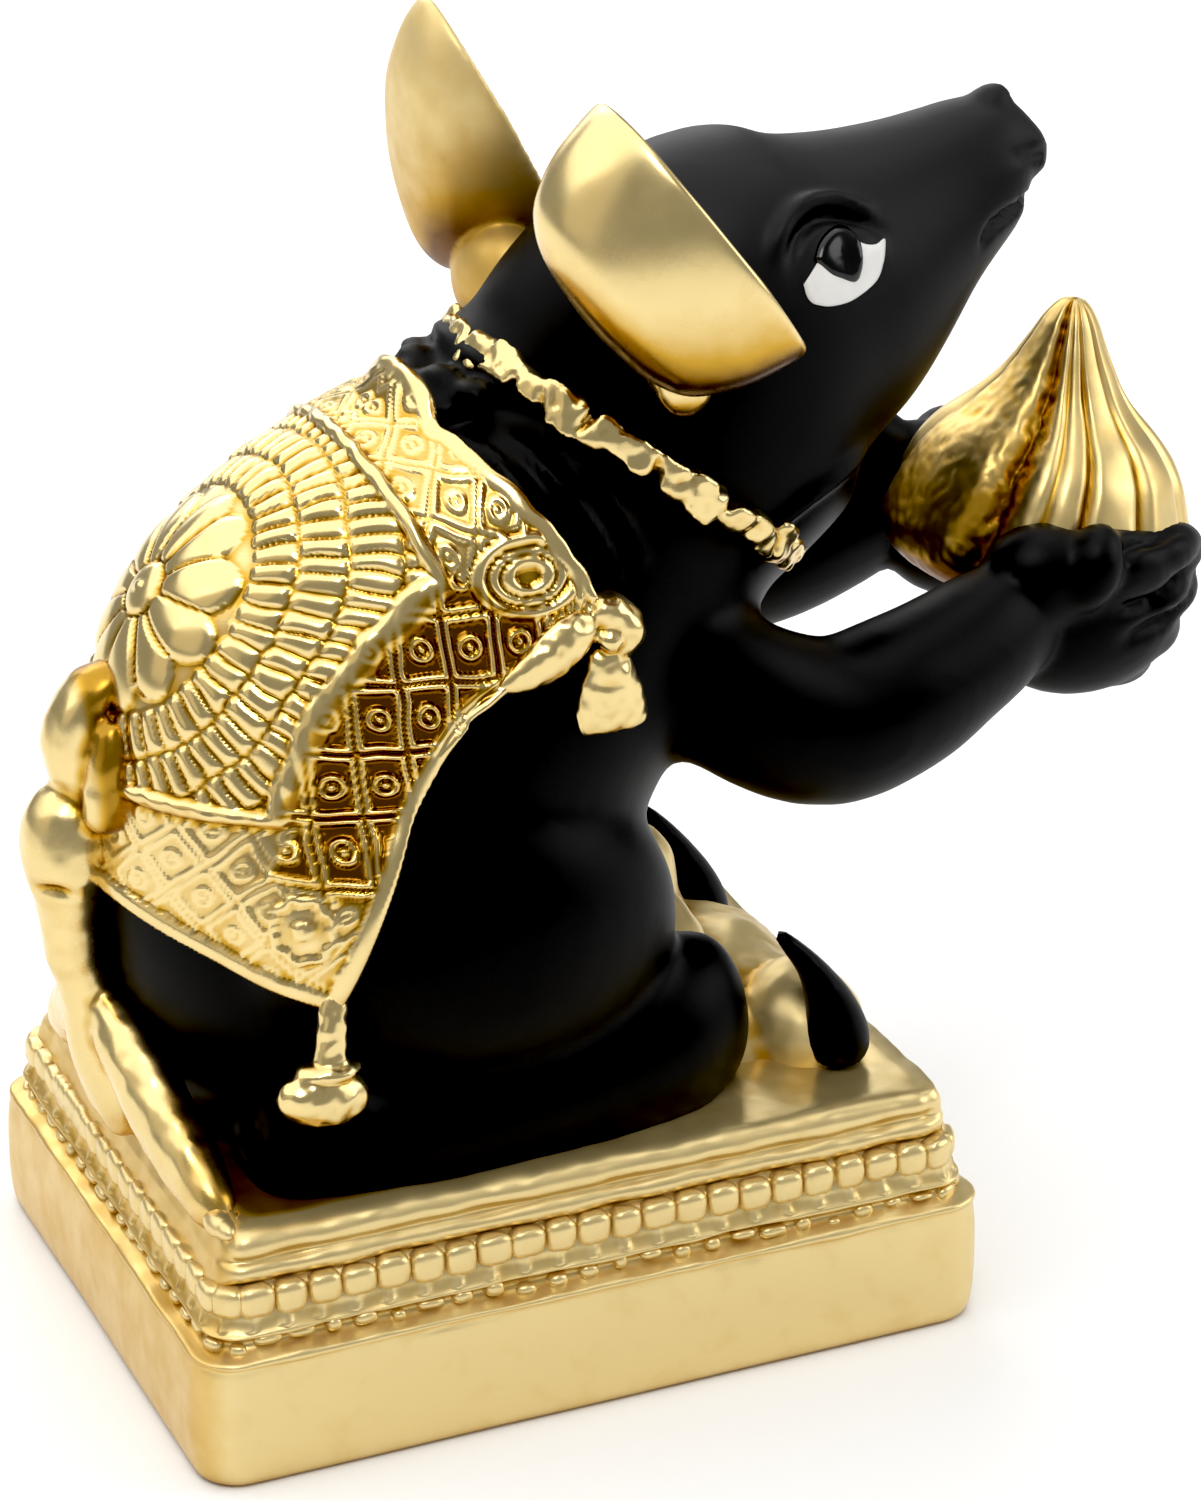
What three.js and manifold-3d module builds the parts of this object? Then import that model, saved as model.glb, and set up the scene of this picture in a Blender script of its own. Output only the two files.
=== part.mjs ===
// A crouching rat figurine, cast in one piece with its moulded plinth. The rat leans forward and holds
// out a pleated sweet in both hands. It wears a saddle cloth with tassels, a necklace and cup-like ears.
// Millimetres, +Z up, the rat faces +X, and the origin is the centre of the plinth's underside.

import * as THREE from 'three';
import { mergeVertices } from 'three/addons/utils/BufferGeometryUtils.js';
import Module from 'manifold-3d';

// Plinth
const PLINTH_LENGTH = 59.2;
const PLINTH_WIDTH = 47;
const PLINTH_CORNER = 3.2;
const PLINTH_TOP = 17.7;
// height above the underside and inset from the plinth's outline, from the underside to the top
const PLINTH_PROFILE = [
  [0, 0.9], [0.8, 0.2], [4.6, 0], [8.6, 0.2], [9.6, 0.3], [10.1, 1.4], [11.2, 1.2],
  [12.0, 1.7], [13.2, 1.4], [14.2, 2.3], [15.2, 2.4], [16.2, 2.9], [17.2, 3.1], [PLINTH_TOP, 4.4],
];

// Torso: height, rearmost X, foremost X and half width at each level
const TORSO = [
  [14, -24, 8, 16],
  [20, -26, 9.5, 17],
  [27, -27.5, 10, 17.4],
  [34, -28.3, 10.5, 17.6],
  [40, -28, 13.2, 17.4],
  [46, -27.2, 18, 16.8],
  [52, -25.6, 21.5, 15.8],
  [57.5, -22, 23, 14.6],
  [62.5, -15.5, 21.5, 13],
  [66, -8, 17, 10],
  [67.8, -4, 10, 5],
];
const CLOTH_THICKNESS = 0.9;

// Neck and head: X and Z of the spine, half width, half height across the spine
const HEAD = [
  [3, 49, 11, 13],
  [10.8, 60.2, 12.6, 15.5],
  [18.8, 68.5, 12.2, 15.1],
  [26.8, 72, 9.8, 11],
  [34, 75.9, 6.5, 6.9],
  [39.3, 78.7, 4.6, 5.1],
  [41.8, 79.2, 3.7, 3.9],
];

// Arms: X, distance to the side, Z, half width and half height
const RIGHT_ARM = [
  [5, 7.5, 53, 6, 7], [13.5, 11, 46.9, 6, 6.2], [21, 12, 43.5, 5.9, 6], [27, 11.6, 44.4, 5.6, 5.8],
  [32, 10.8, 46.1, 4.8, 5.2], [36.5, 9.6, 47.4, 4.5, 5.2], [41, 8.8, 47.2, 4.2, 5.4],
];
const LEFT_ARM = [
  [5, 7.5, 54, 6, 7], [13.5, 11, 49.4, 5.8, 6.6], [21, 12, 47, 5.4, 6.2], [28, 11.6, 47.9, 5.2, 6.6],
  [35, 10.4, 51.2, 4.8, 7.4], [40, 9.4, 52.2, 4.3, 6.6],
];
const LEFT_HAND_LIFT = 1.6;
const THUMB = [[41, 10.4, 48.4, 2.6, 2.4], [42.2, 11.4, 51.6, 2.7, 2.5], [43.6, 11.2, 54.4, 1.7, 1.7]];
const FINGERTIP = [[39.4, 10.4, 50.6, 1.6, 1.8], [39.4, 10.6, 54, 1.2, 1.3]];
const FINGERS = [
  [[43.6, 10, 50.4, 2.1, 2.1], [48.3, 10, 50.9, 2.1, 2.1], [51.8, 7.4, 50.1, 1.9, 1.9],
   [53.4, 3.6, 49.4, 1.5, 1.5]],
  [[43.6, 9.8, 47.4, 2.1, 2.1], [48.7, 9.5, 47.6, 2.1, 2.1], [51.9, 6.6, 47, 1.95, 1.95],
   [53.1, 3, 46.6, 1.6, 1.6]],
  [[43.6, 9.4, 44.4, 2.1, 2.1], [48.2, 8.8, 44.5, 2.1, 2.1], [51, 6, 44, 1.9, 1.9],
   [51.9, 3, 43.7, 1.5, 1.5]],
  [[43, 8.6, 42.4, 2, 1.8], [46.7, 8, 42.2, 1.9, 1.8], [49.4, 5.6, 41.6, 1.7, 1.7],
   [50.2, 3, 41.3, 1.4, 1.4]],
];
// the front paws stand a little to the rat's right
const PAW_SHIFT = -1.7;

const SWEET_FOOT = [43.4, 0, 45.6];
const SWEET_TIP = [46.6, 0, 67.5];
const SWEET_PLEATS = 12;
const SWEET_OUTLINE = [
  [0, 0], [5.8, 0.5], [9.4, 1.6], [11, 3], [11.4, 4.8], [11.1, 6.4], [9.5, 10.4],
  [6.2, 14], [3.7, 17.2], [1.8, 20.6], [0, 22.1],
];

// Each ear is a cup: the way it opens, and the two tips of its rim
const RIGHT_EAR = {
  open: [0.807, -0.079, 0.582], top: [3.2, -14, 90], bottom: [15, -19.9, 73.5], depth: 9.5, sag: 0,
};
const LEFT_EAR = {
  open: [0.848, -0.131, 0.513], top: [3.2, 14, 90], bottom: [14, 19, 71.6], depth: 7.9, sag: 0.45,
};
// a little more than the true half width, as the flat facets cut inside the round rim
const EAR_HALF_WIDTH = 7.3;
// the cup's profile from the middle of its back, over the rim and into the dish, in shares of its size
const EAR_BOWL = [
  [0, -1], [0.45, -0.95], [0.75, -0.78], [0.93, -0.42], [1, 0],
  [0.9, 0.02], [0.8, -0.3], [0.55, -0.5], [0, -0.58],
];

const LEFT = new THREE.Vector3(0, 1, 0);

const wasm = await Module();
wasm.setup();

// The solid of a closed three.js geometry, ready to be joined and cut.
function solidOf(geometry) {
  const bare = geometry.clone();
  bare.deleteAttribute('normal');
  bare.deleteAttribute('uv');
  const merged = mergeVertices(bare, 1e-4);
  return new wasm.Manifold(new wasm.Mesh({
    numProp: 3,
    vertProperties: Float32Array.from(merged.attributes.position.array),
    triVerts: Uint32Array.from(merged.index.array),
  }));
}

// Moves every vertex of a geometry to the place that the function gives for it.
function reshaped(geometry, place) {
  const position = geometry.attributes.position;
  const vertex = new THREE.Vector3();
  for (let i = 0; i < position.count; i += 1) {
    vertex.fromBufferAttribute(position, i);
    const moved = place(vertex.clone());
    position.setXYZ(i, moved.x, moved.y, moved.z);
  }
  return geometry;
}

// A round-ended body along a spine. Each station is a point, a half width (across, to the rat's left
// or right) and a half height. A sphere's vertices move out to the section they belong to.
function limb(stations, { sides = 16, rows = 12, blunt = 3, level = false } = {}) {
  const points = stations.map((s) => new THREE.Vector3(...s.at));
  const spans = stations.map((s) => new THREE.Vector3(s.wide, s.high, 0));
  const spine = new THREE.CatmullRomCurve3(points);
  const sizes = new THREE.CatmullRomCurve3(spans);
  return reshaped(new THREE.SphereGeometry(1, sides, rows), (v) => {
    const along = THREE.MathUtils.clamp(v.y, -1, 1);
    const t = (1 + along) / 2;
    const ring = Math.hypot(v.x, v.z);
    const full = (1 - Math.abs(along) ** blunt) ** (1 / blunt);
    const tangent = level ? new THREE.Vector3(0, 0, 1) : spine.getTangent(t);
    const side = LEFT.clone().addScaledVector(tangent, -LEFT.dot(tangent)).normalize();
    const rise = side.clone().cross(tangent);
    const size = sizes.getPoint(t);
    const place = spine.getPoint(t);
    if (ring > 1e-6) {
      place.addScaledVector(side, (v.x / ring) * size.x * full);
      place.addScaledVector(rise, (v.z / ring) * size.y * full);
    }
    return place;
  });
}

function station(x, y, z, wide, high = wide) {
  return { at: [x, y, z], wide, high };
}

// Stations from rows of X, distance to the side, Z, half width and half height.
function mirrored(rows, side, lift = 0) {
  return rows.map(([x, y, z, wide, high]) => station(x, side * y, z + lift, wide, high));
}

// An egg-shaped lump with its own half sizes, leaned about the rat's left-right axis.
function lump([x, y, z], [halfX, halfY, halfZ], lean = 0, sides = 16, rows = 10) {
  const geometry = new THREE.SphereGeometry(1, sides, rows);
  geometry.rotateX(Math.PI / 2);
  geometry.scale(halfX, halfY, halfZ);
  geometry.rotateY(THREE.MathUtils.degToRad(lean));
  geometry.translate(x, y, z);
  return geometry;
}

function plinth() {
  const perCorner = 5;
  const sides = 4 * perCorner;
  const rows = PLINTH_PROFILE.length - 1;
  const halfX = PLINTH_LENGTH / 2 - PLINTH_CORNER;
  const halfY = PLINTH_WIDTH / 2 - PLINTH_CORNER;
  const shape = new THREE.CylinderGeometry(1, 1, 1, sides, rows);
  shape.rotateX(Math.PI / 2);
  return reshaped(shape, (v) => {
    const level = Math.round((v.z + 0.5) * rows);
    const [z, inset] = PLINTH_PROFILE[level];
    if (Math.hypot(v.x, v.y) < 1e-6) return new THREE.Vector3(0, 0, z);
    const turn = (Math.atan2(v.y, v.x) / (2 * Math.PI) + 1) % 1;
    const index = Math.round(turn * sides) % sides;
    const corner = Math.floor(index / perCorner);
    const angle = (corner + (index % perCorner) / (perCorner - 1)) * (Math.PI / 2);
    const signX = corner === 0 || corner === 3 ? 1 : -1;
    const signY = corner < 2 ? 1 : -1;
    const radius = PLINTH_CORNER - inset / 2;
    const reach = inset / 2;
    return new THREE.Vector3(
      signX * (halfX - reach) + radius * Math.cos(angle),
      signY * (halfY - reach) + radius * Math.sin(angle),
      z,
    );
  });
}

function torso(grow = 0) {
  const stations = TORSO.map(([z, rear, front, half]) => (
    station((rear + front) / 2, 0, z, half + grow, (front - rear) / 2 + grow)
  ));
  stations[stations.length - 1].at[2] += grow;
  return limb(stations, { sides: 20, rows: 12, blunt: 5, level: true });
}

function haunch(side, grow = 0) {
  return lump([-6.4, side * 10.8, 33.6], [16.8 + grow, 9.5 + grow, 12.8 + grow], 18, 16, 10);
}

function hindFoot(side) {
  return limb(mirrored([
    [-21, 12.4, 20, 6.6, 5.4], [-8, 12.8, 20.5, 6.4, 5.8], [5, 12.6, 21.5, 5.8, 6.4],
    [10.5, 11.4, 22.2, 5.2, 6.6], [14.8, 9.6, 22.6, 3.6, 6.4],
  ], side), { sides: 10, rows: 6, blunt: 5 });
}

function frontPaw(side) {
  const stations = mirrored([
    [17.2, 11.7, 28.6, 1.0, 0.7], [19.8, 11.7, 25.4, 1.6, 1.0], [21.4, 11.7, 22.3, 2.2, 1.7],
    [22.0, 11.7, 19.8, 2.5, 2.3], [22.1, 11.7, 17.6, 2.4, 2.3],
  ], side);
  stations.forEach((s) => { s.at[1] += PAW_SHIFT; });
  return limb(stations, { sides: 8, rows: 6, blunt: 5 });
}

function mound() {
  return [
    limb([
      station(2, 0, 17, 11, 13.5),
      station(9, 0, 17, 10.8, 13.8),
      station(12.6, 0, 17, 10.8, 13),
      station(14.4, 0, 17, 11, 11.2),
      station(15.8, 0, 17, 11.3, 8),
      station(17.2, 0, 17, 11.4, 6.2),
      station(19.5, 0, 17, 11.4, 5.9),
      station(22, 0, 17, 11.2, 5.5),
      station(24.8, 0, 16.8, 11, 3.5),
      station(27, 0, 16.4, 10.5, 1.6),
    ], { sides: 14, rows: 12 }),
    lump([21, -9, 18.2], [4.6, 4.8, 5.2], 0, 8, 6),
    lump([14.5, 7, 23], [4.2, 4.5, 6.5], 0, 8, 6),
  ];
}

function arm(side) {
  return limb(mirrored(side < 0 ? RIGHT_ARM : LEFT_ARM, side), { sides: 12, rows: 9 });
}

function hand(side) {
  const lift = side > 0 ? LEFT_HAND_LIFT : 0;
  const lumps = [
    lump([43.4, side * 8.2, 46.4 + lift], [7.8, 4.1, 5.8], 4, 10, 7),
    lump([39.4, side * 9.4, 50.4 + lift], [4.6, 3.6, 4], 8, 8, 5),
    lump([44.6, side * 10.2, 50.8 + lift], [5.2, 2.8, 2.8], 10, 8, 5),
  ];
  const fingers = [THUMB, FINGERTIP, ...FINGERS].map((rows) => (
    limb(mirrored(rows, side, lift), { sides: 6, rows: 6, blunt: 2.4 })
  ));
  return [...lumps, ...fingers];
}

function sweet() {
  const outline = SWEET_OUTLINE.map(([r, z]) => new THREE.Vector2(r, z));
  const shape = new THREE.LatheGeometry(outline, 3 * SWEET_PLEATS);
  reshaped(shape, (v) => {
    const angle = Math.atan2(v.z, v.x);
    const fold = 1 - 0.07 * (0.5 - 0.5 * Math.cos(angle * SWEET_PLEATS));
    return new THREE.Vector3(v.x * fold, v.y, v.z * fold);
  });
  const foot = new THREE.Vector3(...SWEET_FOOT);
  const axis = new THREE.Vector3(...SWEET_TIP).sub(foot).normalize();
  const turn = new THREE.Quaternion().setFromUnitVectors(LEFT, axis);
  shape.applyQuaternion(turn);
  shape.translate(foot.x, foot.y, foot.z);
  return shape;
}

function head() {
  const stations = HEAD.map(([x, z, wide, high]) => station(x, 0, z, wide, high));
  return limb(stations, { sides: 18, rows: 12, blunt: 4 });
}

function ear(side) {
  const {
    open, top, bottom, depth: cup, sag,
  } = side < 0 ? RIGHT_EAR : LEFT_EAR;
  const opening = new THREE.Vector3(...open).normalize();
  const high = new THREE.Vector3(...top);
  const low = new THREE.Vector3(...bottom);
  const middle = high.clone().add(low).multiplyScalar(0.5);
  const long = high.clone().sub(low);
  const half = long.length() / 2;
  long.normalize();
  const across = long.clone().cross(opening).normalize();
  const bowl = EAR_BOWL.map(([r, depth]) => new THREE.Vector2(r, depth));
  return reshaped(new THREE.LatheGeometry(bowl, 16), (v) => middle.clone()
    .addScaledVector(long, v.x * half)
    .addScaledVector(across, v.z * EAR_HALF_WIDTH)
    .addScaledVector(opening, v.y * cup * (1 - sag * v.x)));
}

// The flange that joins the back of an ear to the side of the head, and its drop-shaped lower end.
function earRoot(side) {
  const flange = side < 0
    ? lump([7.6, -11.4, 74.2], [2.2, 4.2, 5], -35, 10, 6)
    : lump([7, 12.4, 70.4], [3, 4.8, 4.2], 0, 10, 6);
  const drop = side < 0
    ? [[8.4, 15.8, 68.8, 1.2, 1.5], [9, 14.6, 71, 2.4, 2.2], [10.6, 10, 72.4, 3, 3]]
    : [[8.4, 16.2, 68.8, 1, 1.2], [8.6, 16, 70.2, 2, 1.9], [7.8, 14.2, 71.2, 2.6, 2.4]];
  return [flange, limb(mirrored(drop, side), { sides: 8, rows: 6 })];
}

function eye(side) {
  return lump([23.6, side * 8.6, 74.4], [3.1, 1.6, 2.7], -20, 10, 6);
}

// The flower boss at the middle of the cloth, facing back and up.
function boss() {
  return lump([-22.7, 0, 56.2], [4.6, 4.6, 1.6], -48, 12, 6);
}

// The small peak at the snout's end and the blunt wedge below it.
function nose() {
  return [
    lump([39.1, 0, 83], [1.5, 1.4, 0.85], -12, 8, 6),
    limb([
      station(38.4, 0, 82.5, 1.6, 1.2),
      station(39.4, 0, 81.5, 2.6, 1.7),
      station(40.5, 0, 80.3, 3.2, 1.8),
      station(41.5, 0, 79, 3.3, 1.75),
      station(41, 0, 77.4, 2.9, 1.6),
    ], { sides: 10, rows: 8, blunt: 4 }),
  ];
}

// The back of the neck, behind the necklace.
function nape() {
  return lump([2, 0.6, 67.4], [4.5, 7.5, 4.5], 0, 12, 8);
}

function necklace() {
  const axis = new THREE.Vector3(0.6, 0, 0.8);
  const along = new THREE.Vector3(0.8, 0, -0.6);
  const centre = new THREE.Vector3(11.2, 0, 61.8);
  const shape = new THREE.TorusGeometry(1, 0.1, 5, 24);
  return reshaped(shape, (v) => {
    const ring = Math.hypot(v.x, v.y);
    const out = (ring - 1) * 14.1;
    const angle = Math.atan2(v.y, v.x);
    return centre.clone()
      .addScaledVector(along, Math.cos(angle) * (14.1 + out))
      .addScaledVector(LEFT, Math.sin(angle) * (13.2 + out))
      .addScaledVector(axis, v.z * 12);
  });
}

// The tail's loop, its drop to the plinth, and the slope of casting beside it.
function tail() {
  const skirt = [
    [-28.6, 0.5, 28, 1.6, 1.8], [-27.8, 3.5, 25, 2.6, 2.2], [-27, 7, 22.4, 2.8, 2.3],
    [-26.4, 10.5, 20.2, 2.8, 2.3], [-25.9, 14, 18.2, 2.5, 2.1], [-25.5, 17, 16.6, 2.2, 1.8],
  ];
  return [
    limb([
      station(-24.5, 0, 50.2, 2.4, 1.7),
      station(-27.8, 0, 49.4, 2.6, 1.8),
      station(-29.6, 0, 46, 2.6, 1.75),
      station(-28.8, 0, 41.4, 2.6, 1.8),
    ], { sides: 8, rows: 8 }),
    limb([
      station(-29.8, 0, 43, 2.8, 2.2),
      station(-30.1, 0, 40.4, 3.5, 3.3),
      station(-30.1, 0, 37.4, 3.5, 3.2),
      station(-30.2, 0, 34.6, 2.6, 2.3),
      station(-29.9, 0, 31, 2.3, 2.1),
      station(-29, 0, 27, 2.3, 2.1),
      station(-27.9, 0, 22, 3.4, 2.8),
      station(-26.6, 0, 16, 4.6, 3.2),
    ], { sides: 8, rows: 10 }),
    limb(mirrored(skirt, -1), { sides: 8, rows: 6 }),
    limb(mirrored(skirt, 1), { sides: 8, rows: 6 }),
  ];
}

// The saddle cloth: the body grown by the cloth's thickness, kept where the cloth's outline lies.
function clothOutline() {
  const shape = new THREE.Shape();
  shape.moveTo(-4.4, 75);
  shape.lineTo(-4.2, 66.4);
  shape.quadraticCurveTo(1.6, 61.6, 3.1, 55.4);
  shape.lineTo(-6.9, 49.9);
  shape.quadraticCurveTo(-12, 44, -16.9, 31.4);
  shape.lineTo(-20, 32.4);
  shape.quadraticCurveTo(-26, 34.6, -34, 39.5);
  shape.lineTo(-34, 75);
  shape.closePath();
  return shape;
}

function cloth() {
  const prism = new THREE.ExtrudeGeometry(clothOutline(), {
    depth: 60, bevelEnabled: false, curveSegments: 8,
  });
  prism.rotateX(Math.PI / 2);
  prism.translate(0, 30, 0);
  const grown = joined([
    torso(CLOTH_THICKNESS), haunch(1, CLOTH_THICKNESS), haunch(-1, CLOTH_THICKNESS),
  ]);
  return grown.intersect(solidOf(prism));
}

function joined(geometries) {
  return geometries.map(solidOf).reduce((sum, next) => sum.add(next));
}

function tassel(side) {
  const stem = [
    [-17.4, 17.4, 33.2, 1.1, 1.2], [-17.9, 18.2, 30.8, 1, 1.05], [-18.2, 18.6, 28.9, 1, 1.15],
    [-18.4, 18.8, 27.2, 1.3, 1.9],
  ];
  return [
    limb(mirrored(stem, side), { sides: 6, rows: 5 }),
    lump([-18.9, side * 18.9, 26], [3.25, 1.9, 2.05], 8, 8, 5),
  ];
}

// A fold of the cloth's corner, and a looped knot with a flared tag below it.
function pendant(side) {
  const fold = [
    [-5, 16.4, 51.9, 0.7, 0.8], [-2.2, 16.5, 53.2, 1, 1.5], [0.3, 16, 54.7, 1.1, 1.7],
    [2.4, 15.4, 55.6, 1, 1.3],
  ];
  const knot = [
    [1.4, 14.6, 55.2, 1.3, 1.3], [3.1, 15.2, 55.8, 1.6, 1.4], [4.4, 15.6, 54.4, 1.5, 1.4],
    [3.4, 15.6, 52.8, 1.2, 1.3],
  ];
  const tag = [
    [3.1, 15.3, 53.6, 1, 1.3], [3.1, 15.7, 51.8, 1.1, 1.9], [3.2, 15.8, 49.8, 1.1, 2.5],
    [3.3, 15.6, 47.4, 1.1, 3.1],
  ];
  return [fold, knot, tag].map((rows) => limb(mirrored(rows, side), { sides: 7, rows: 6, blunt: 4 }));
}

// The outer surface of a solid, without the small sealed hollows where rounded parts meet. A piece
// that touches nothing would be a second solid, so it stops the build.
function filled(solid) {
  const solids = solid.decompose().filter((next) => next.volume() > 0);
  if (solids.length !== 1) {
    const places = solids.map((next) => {
      const { min, max } = next.boundingBox();
      return `${next.volume().toFixed(2)} mm3 from ${min.map(Math.round)} to ${max.map(Math.round)}`;
    });
    throw new Error(`the casting is in ${solids.length} separate solids: ${places.join('; ')}`);
  }
  return solids[0];
}

function wholeFigure() {
  const pieces = [plinth(), torso(), head(), nape(), boss(), sweet(), necklace()];
  pieces.push(...mound(), ...nose(), ...tail());
  for (const side of [-1, 1]) {
    pieces.push(haunch(side), hindFoot(side), frontPaw(side), arm(side), ear(side), eye(side));
    pieces.push(...earRoot(side), ...tassel(side), ...pendant(side), ...hand(side));
  }
  return filled(joined(pieces).add(cloth()));
}

function geometryOf(solid) {
  const mesh = solid.getMesh();
  const geometry = new THREE.BufferGeometry();
  geometry.setAttribute('position', new THREE.BufferAttribute(mesh.vertProperties, 3));
  geometry.setIndex(new THREE.BufferAttribute(mesh.triVerts, 1));
  geometry.computeVertexNormals();
  return geometry;
}

const figurine = new THREE.Group();
const plating = new THREE.MeshStandardMaterial({ color: 0xdcbf6a, roughness: 0.3, metalness: 1 });
const rat = new THREE.Mesh(geometryOf(wholeFigure()), plating);
rat.name = 'rat_figurine';
figurine.add(rat);

export default figurine;
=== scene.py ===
"""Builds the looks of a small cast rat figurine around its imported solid, and a plain studio to see it in.

A black enamelled rat crouches on a gilded plinth and holds out a pleated sweet. It wears a gilded
saddle cloth, a necklace, tassels and cup-like ears. Lengths in the tables below are millimetres, in the
frame of the solid: the rat faces +X, +Z is up, and the origin is the middle of the plinth's underside.
"""

import math

import bmesh
import bpy
import numpy as np
from mathutils import Matrix, Vector, noise
from mathutils.bvhtree import BVHTree


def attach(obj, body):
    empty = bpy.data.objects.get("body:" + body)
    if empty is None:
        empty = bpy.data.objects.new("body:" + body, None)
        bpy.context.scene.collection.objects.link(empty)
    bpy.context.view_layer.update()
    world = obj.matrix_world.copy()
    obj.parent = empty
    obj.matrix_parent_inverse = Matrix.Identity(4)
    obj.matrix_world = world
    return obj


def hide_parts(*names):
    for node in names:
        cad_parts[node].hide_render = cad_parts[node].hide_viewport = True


bl_info = {
    "name": "Gilded Rat Figurine",
    "version": (1, 0, 0),
    "blender": (4, 5, 0),
    "location": "3D View > Sidebar > Figurine",
    "description": "Models a black and gilded rat figurine, its plinth and a plain studio",
    "category": "Object",
}

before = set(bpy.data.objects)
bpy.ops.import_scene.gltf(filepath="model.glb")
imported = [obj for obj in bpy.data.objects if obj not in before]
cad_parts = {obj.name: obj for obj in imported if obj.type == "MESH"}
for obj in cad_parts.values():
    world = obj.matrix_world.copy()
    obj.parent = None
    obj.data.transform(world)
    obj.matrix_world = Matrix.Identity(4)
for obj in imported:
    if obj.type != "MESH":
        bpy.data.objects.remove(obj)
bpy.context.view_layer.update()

MM = 0.001
NODE = "rat_figurine"
LEFT = np.array([0.0, 1.0, 0.0])
UP = np.array([0.0, 0.0, 1.0])
SIDES = (-1, 1)

# Torso: height, rearmost X, foremost X and half width at each level
TORSO = [
    (14, -24, 8, 16), (20, -26, 9.5, 17), (27, -27.5, 10, 17.4), (34, -28.3, 10.5, 17.6),
    (40, -28, 13.2, 17.4), (46, -27.2, 18, 16.8), (52, -25.6, 21.5, 15.8), (57.5, -22, 23, 14.6),
    (62.5, -15.5, 21.5, 13), (66, -8, 17, 10), (67.8, -4, 10, 5),
]

# Limbs: X, Y, Z, half width and half height at each station, for the left side (+Y)
HEAD = [
    (3, 0, 49, 11, 13), (10.8, 0, 60.2, 12.6, 15.5), (18.8, 0, 68.5, 12.2, 15.1),
    (26.8, 0, 72.0, 9.8, 11.0), (34.0, 0, 75.9, 6.5, 6.9), (39.3, 0, 78.7, 4.6, 5.1),
    (41.8, 0, 79.2, 3.7, 3.9),
]
NOSE_WEDGE = [
    (38.4, 0, 82.5, 1.6, 1.2), (39.4, 0, 81.5, 2.6, 1.7), (40.5, 0, 80.3, 3.2, 1.8), (41.5, 0, 79.0, 3.3, 1.75),
    (41.0, 0, 77.4, 2.9, 1.6),
]
HIND_FOOT = [
    (-21, 12.4, 20, 6.6, 5.4), (-8, 12.8, 20.5, 6.4, 5.8), (5, 12.6, 21.5, 5.8, 6.4), (10.5, 11.4, 22.2, 5.2, 6.6),
    (14.8, 9.6, 22.6, 3.6, 6.4),
]
SOLE = [
    (-22.6, 12.2, 18.0, 6.6, 2.2), (-6, 12.3, 18.0, 6.4, 2.5), (8, 11.4, 18.2, 5.7, 2.6),
    (12.4, 9.8, 18.8, 3.8, 2.2),
]
FRONT_PAW = [
    (17.2, 11.7, 28.6, 1.0, 0.7), (19.8, 11.7, 25.4, 1.6, 1.0), (21.4, 11.7, 22.3, 2.2, 1.7),
    (22.0, 11.7, 19.8, 2.5, 2.3), (22.1, 11.7, 17.6, 2.4, 2.3),
]
# the front paws stand a little to the rat's right
PAW_SHIFT = -1.7
NAPE = ((2.0, 0.6, 67.4), (4.5, 7.5, 4.5))
RIGHT_ARM = [
    (5, 7.5, 53, 6, 7), (13.5, 11, 46.9, 6, 6.2), (21, 12, 43.5, 5.9, 6.0), (27, 11.6, 44.4, 5.6, 5.8),
    (32, 10.8, 46.1, 4.8, 5.2), (36.5, 9.6, 47.4, 4.5, 5.2), (41, 8.8, 47.2, 4.2, 5.4),
]
LEFT_ARM = [
    (5, 7.5, 54, 6, 7), (13.5, 11, 49.4, 5.8, 6.6), (21, 12, 47, 5.4, 6.2), (28, 11.6, 47.9, 5.2, 6.6),
    (35, 10.4, 51.2, 4.8, 7.4), (40, 9.4, 52.2, 4.3, 6.6),
]
LEFT_HAND_LIFT = 1.6
HAND_LUMPS = {
    "palm": ((43.4, 8.2, 46.4), (7.8, 4.1, 5.8), 4),
    "heel": ((39.4, 9.4, 50.4), (4.6, 3.6, 4.0), 8),
    "web": ((44.6, 10.2, 50.8), (5.2, 2.8, 2.8), 10),
}
THUMB = [(41, 10.4, 48.4, 2.6, 2.4), (42.2, 11.4, 51.6, 2.7, 2.5), (43.6, 11.2, 54.4, 1.7, 1.7)]
FINGERTIP = [(39.4, 10.4, 50.6, 1.6, 1.8), (39.4, 10.6, 54.0, 1.2, 1.3)]
FINGERS = [
    [(43.6, 10, 50.4, 2.1, 2.1), (48.3, 10, 50.9, 2.1, 2.1), (51.8, 7.4, 50.1, 1.9, 1.9), (53.4, 3.6, 49.4, 1.5, 1.5)],
    [(43.6, 9.8, 47.4, 2.1, 2.1), (48.7, 9.5, 47.6, 2.1, 2.1), (51.9, 6.6, 47, 1.95, 1.95), (53.1, 3, 46.6, 1.6, 1.6)],
    [(43.6, 9.4, 44.4, 2.1, 2.1), (48.2, 8.8, 44.5, 2.1, 2.1), (51, 6, 44, 1.9, 1.9), (51.9, 3, 43.7, 1.5, 1.5)],
    [(43, 8.6, 42.4, 2, 1.8), (46.7, 8, 42.2, 1.9, 1.8), (49.4, 5.6, 41.6, 1.7, 1.7), (50.2, 3, 41.3, 1.4, 1.4)],
]
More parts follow.
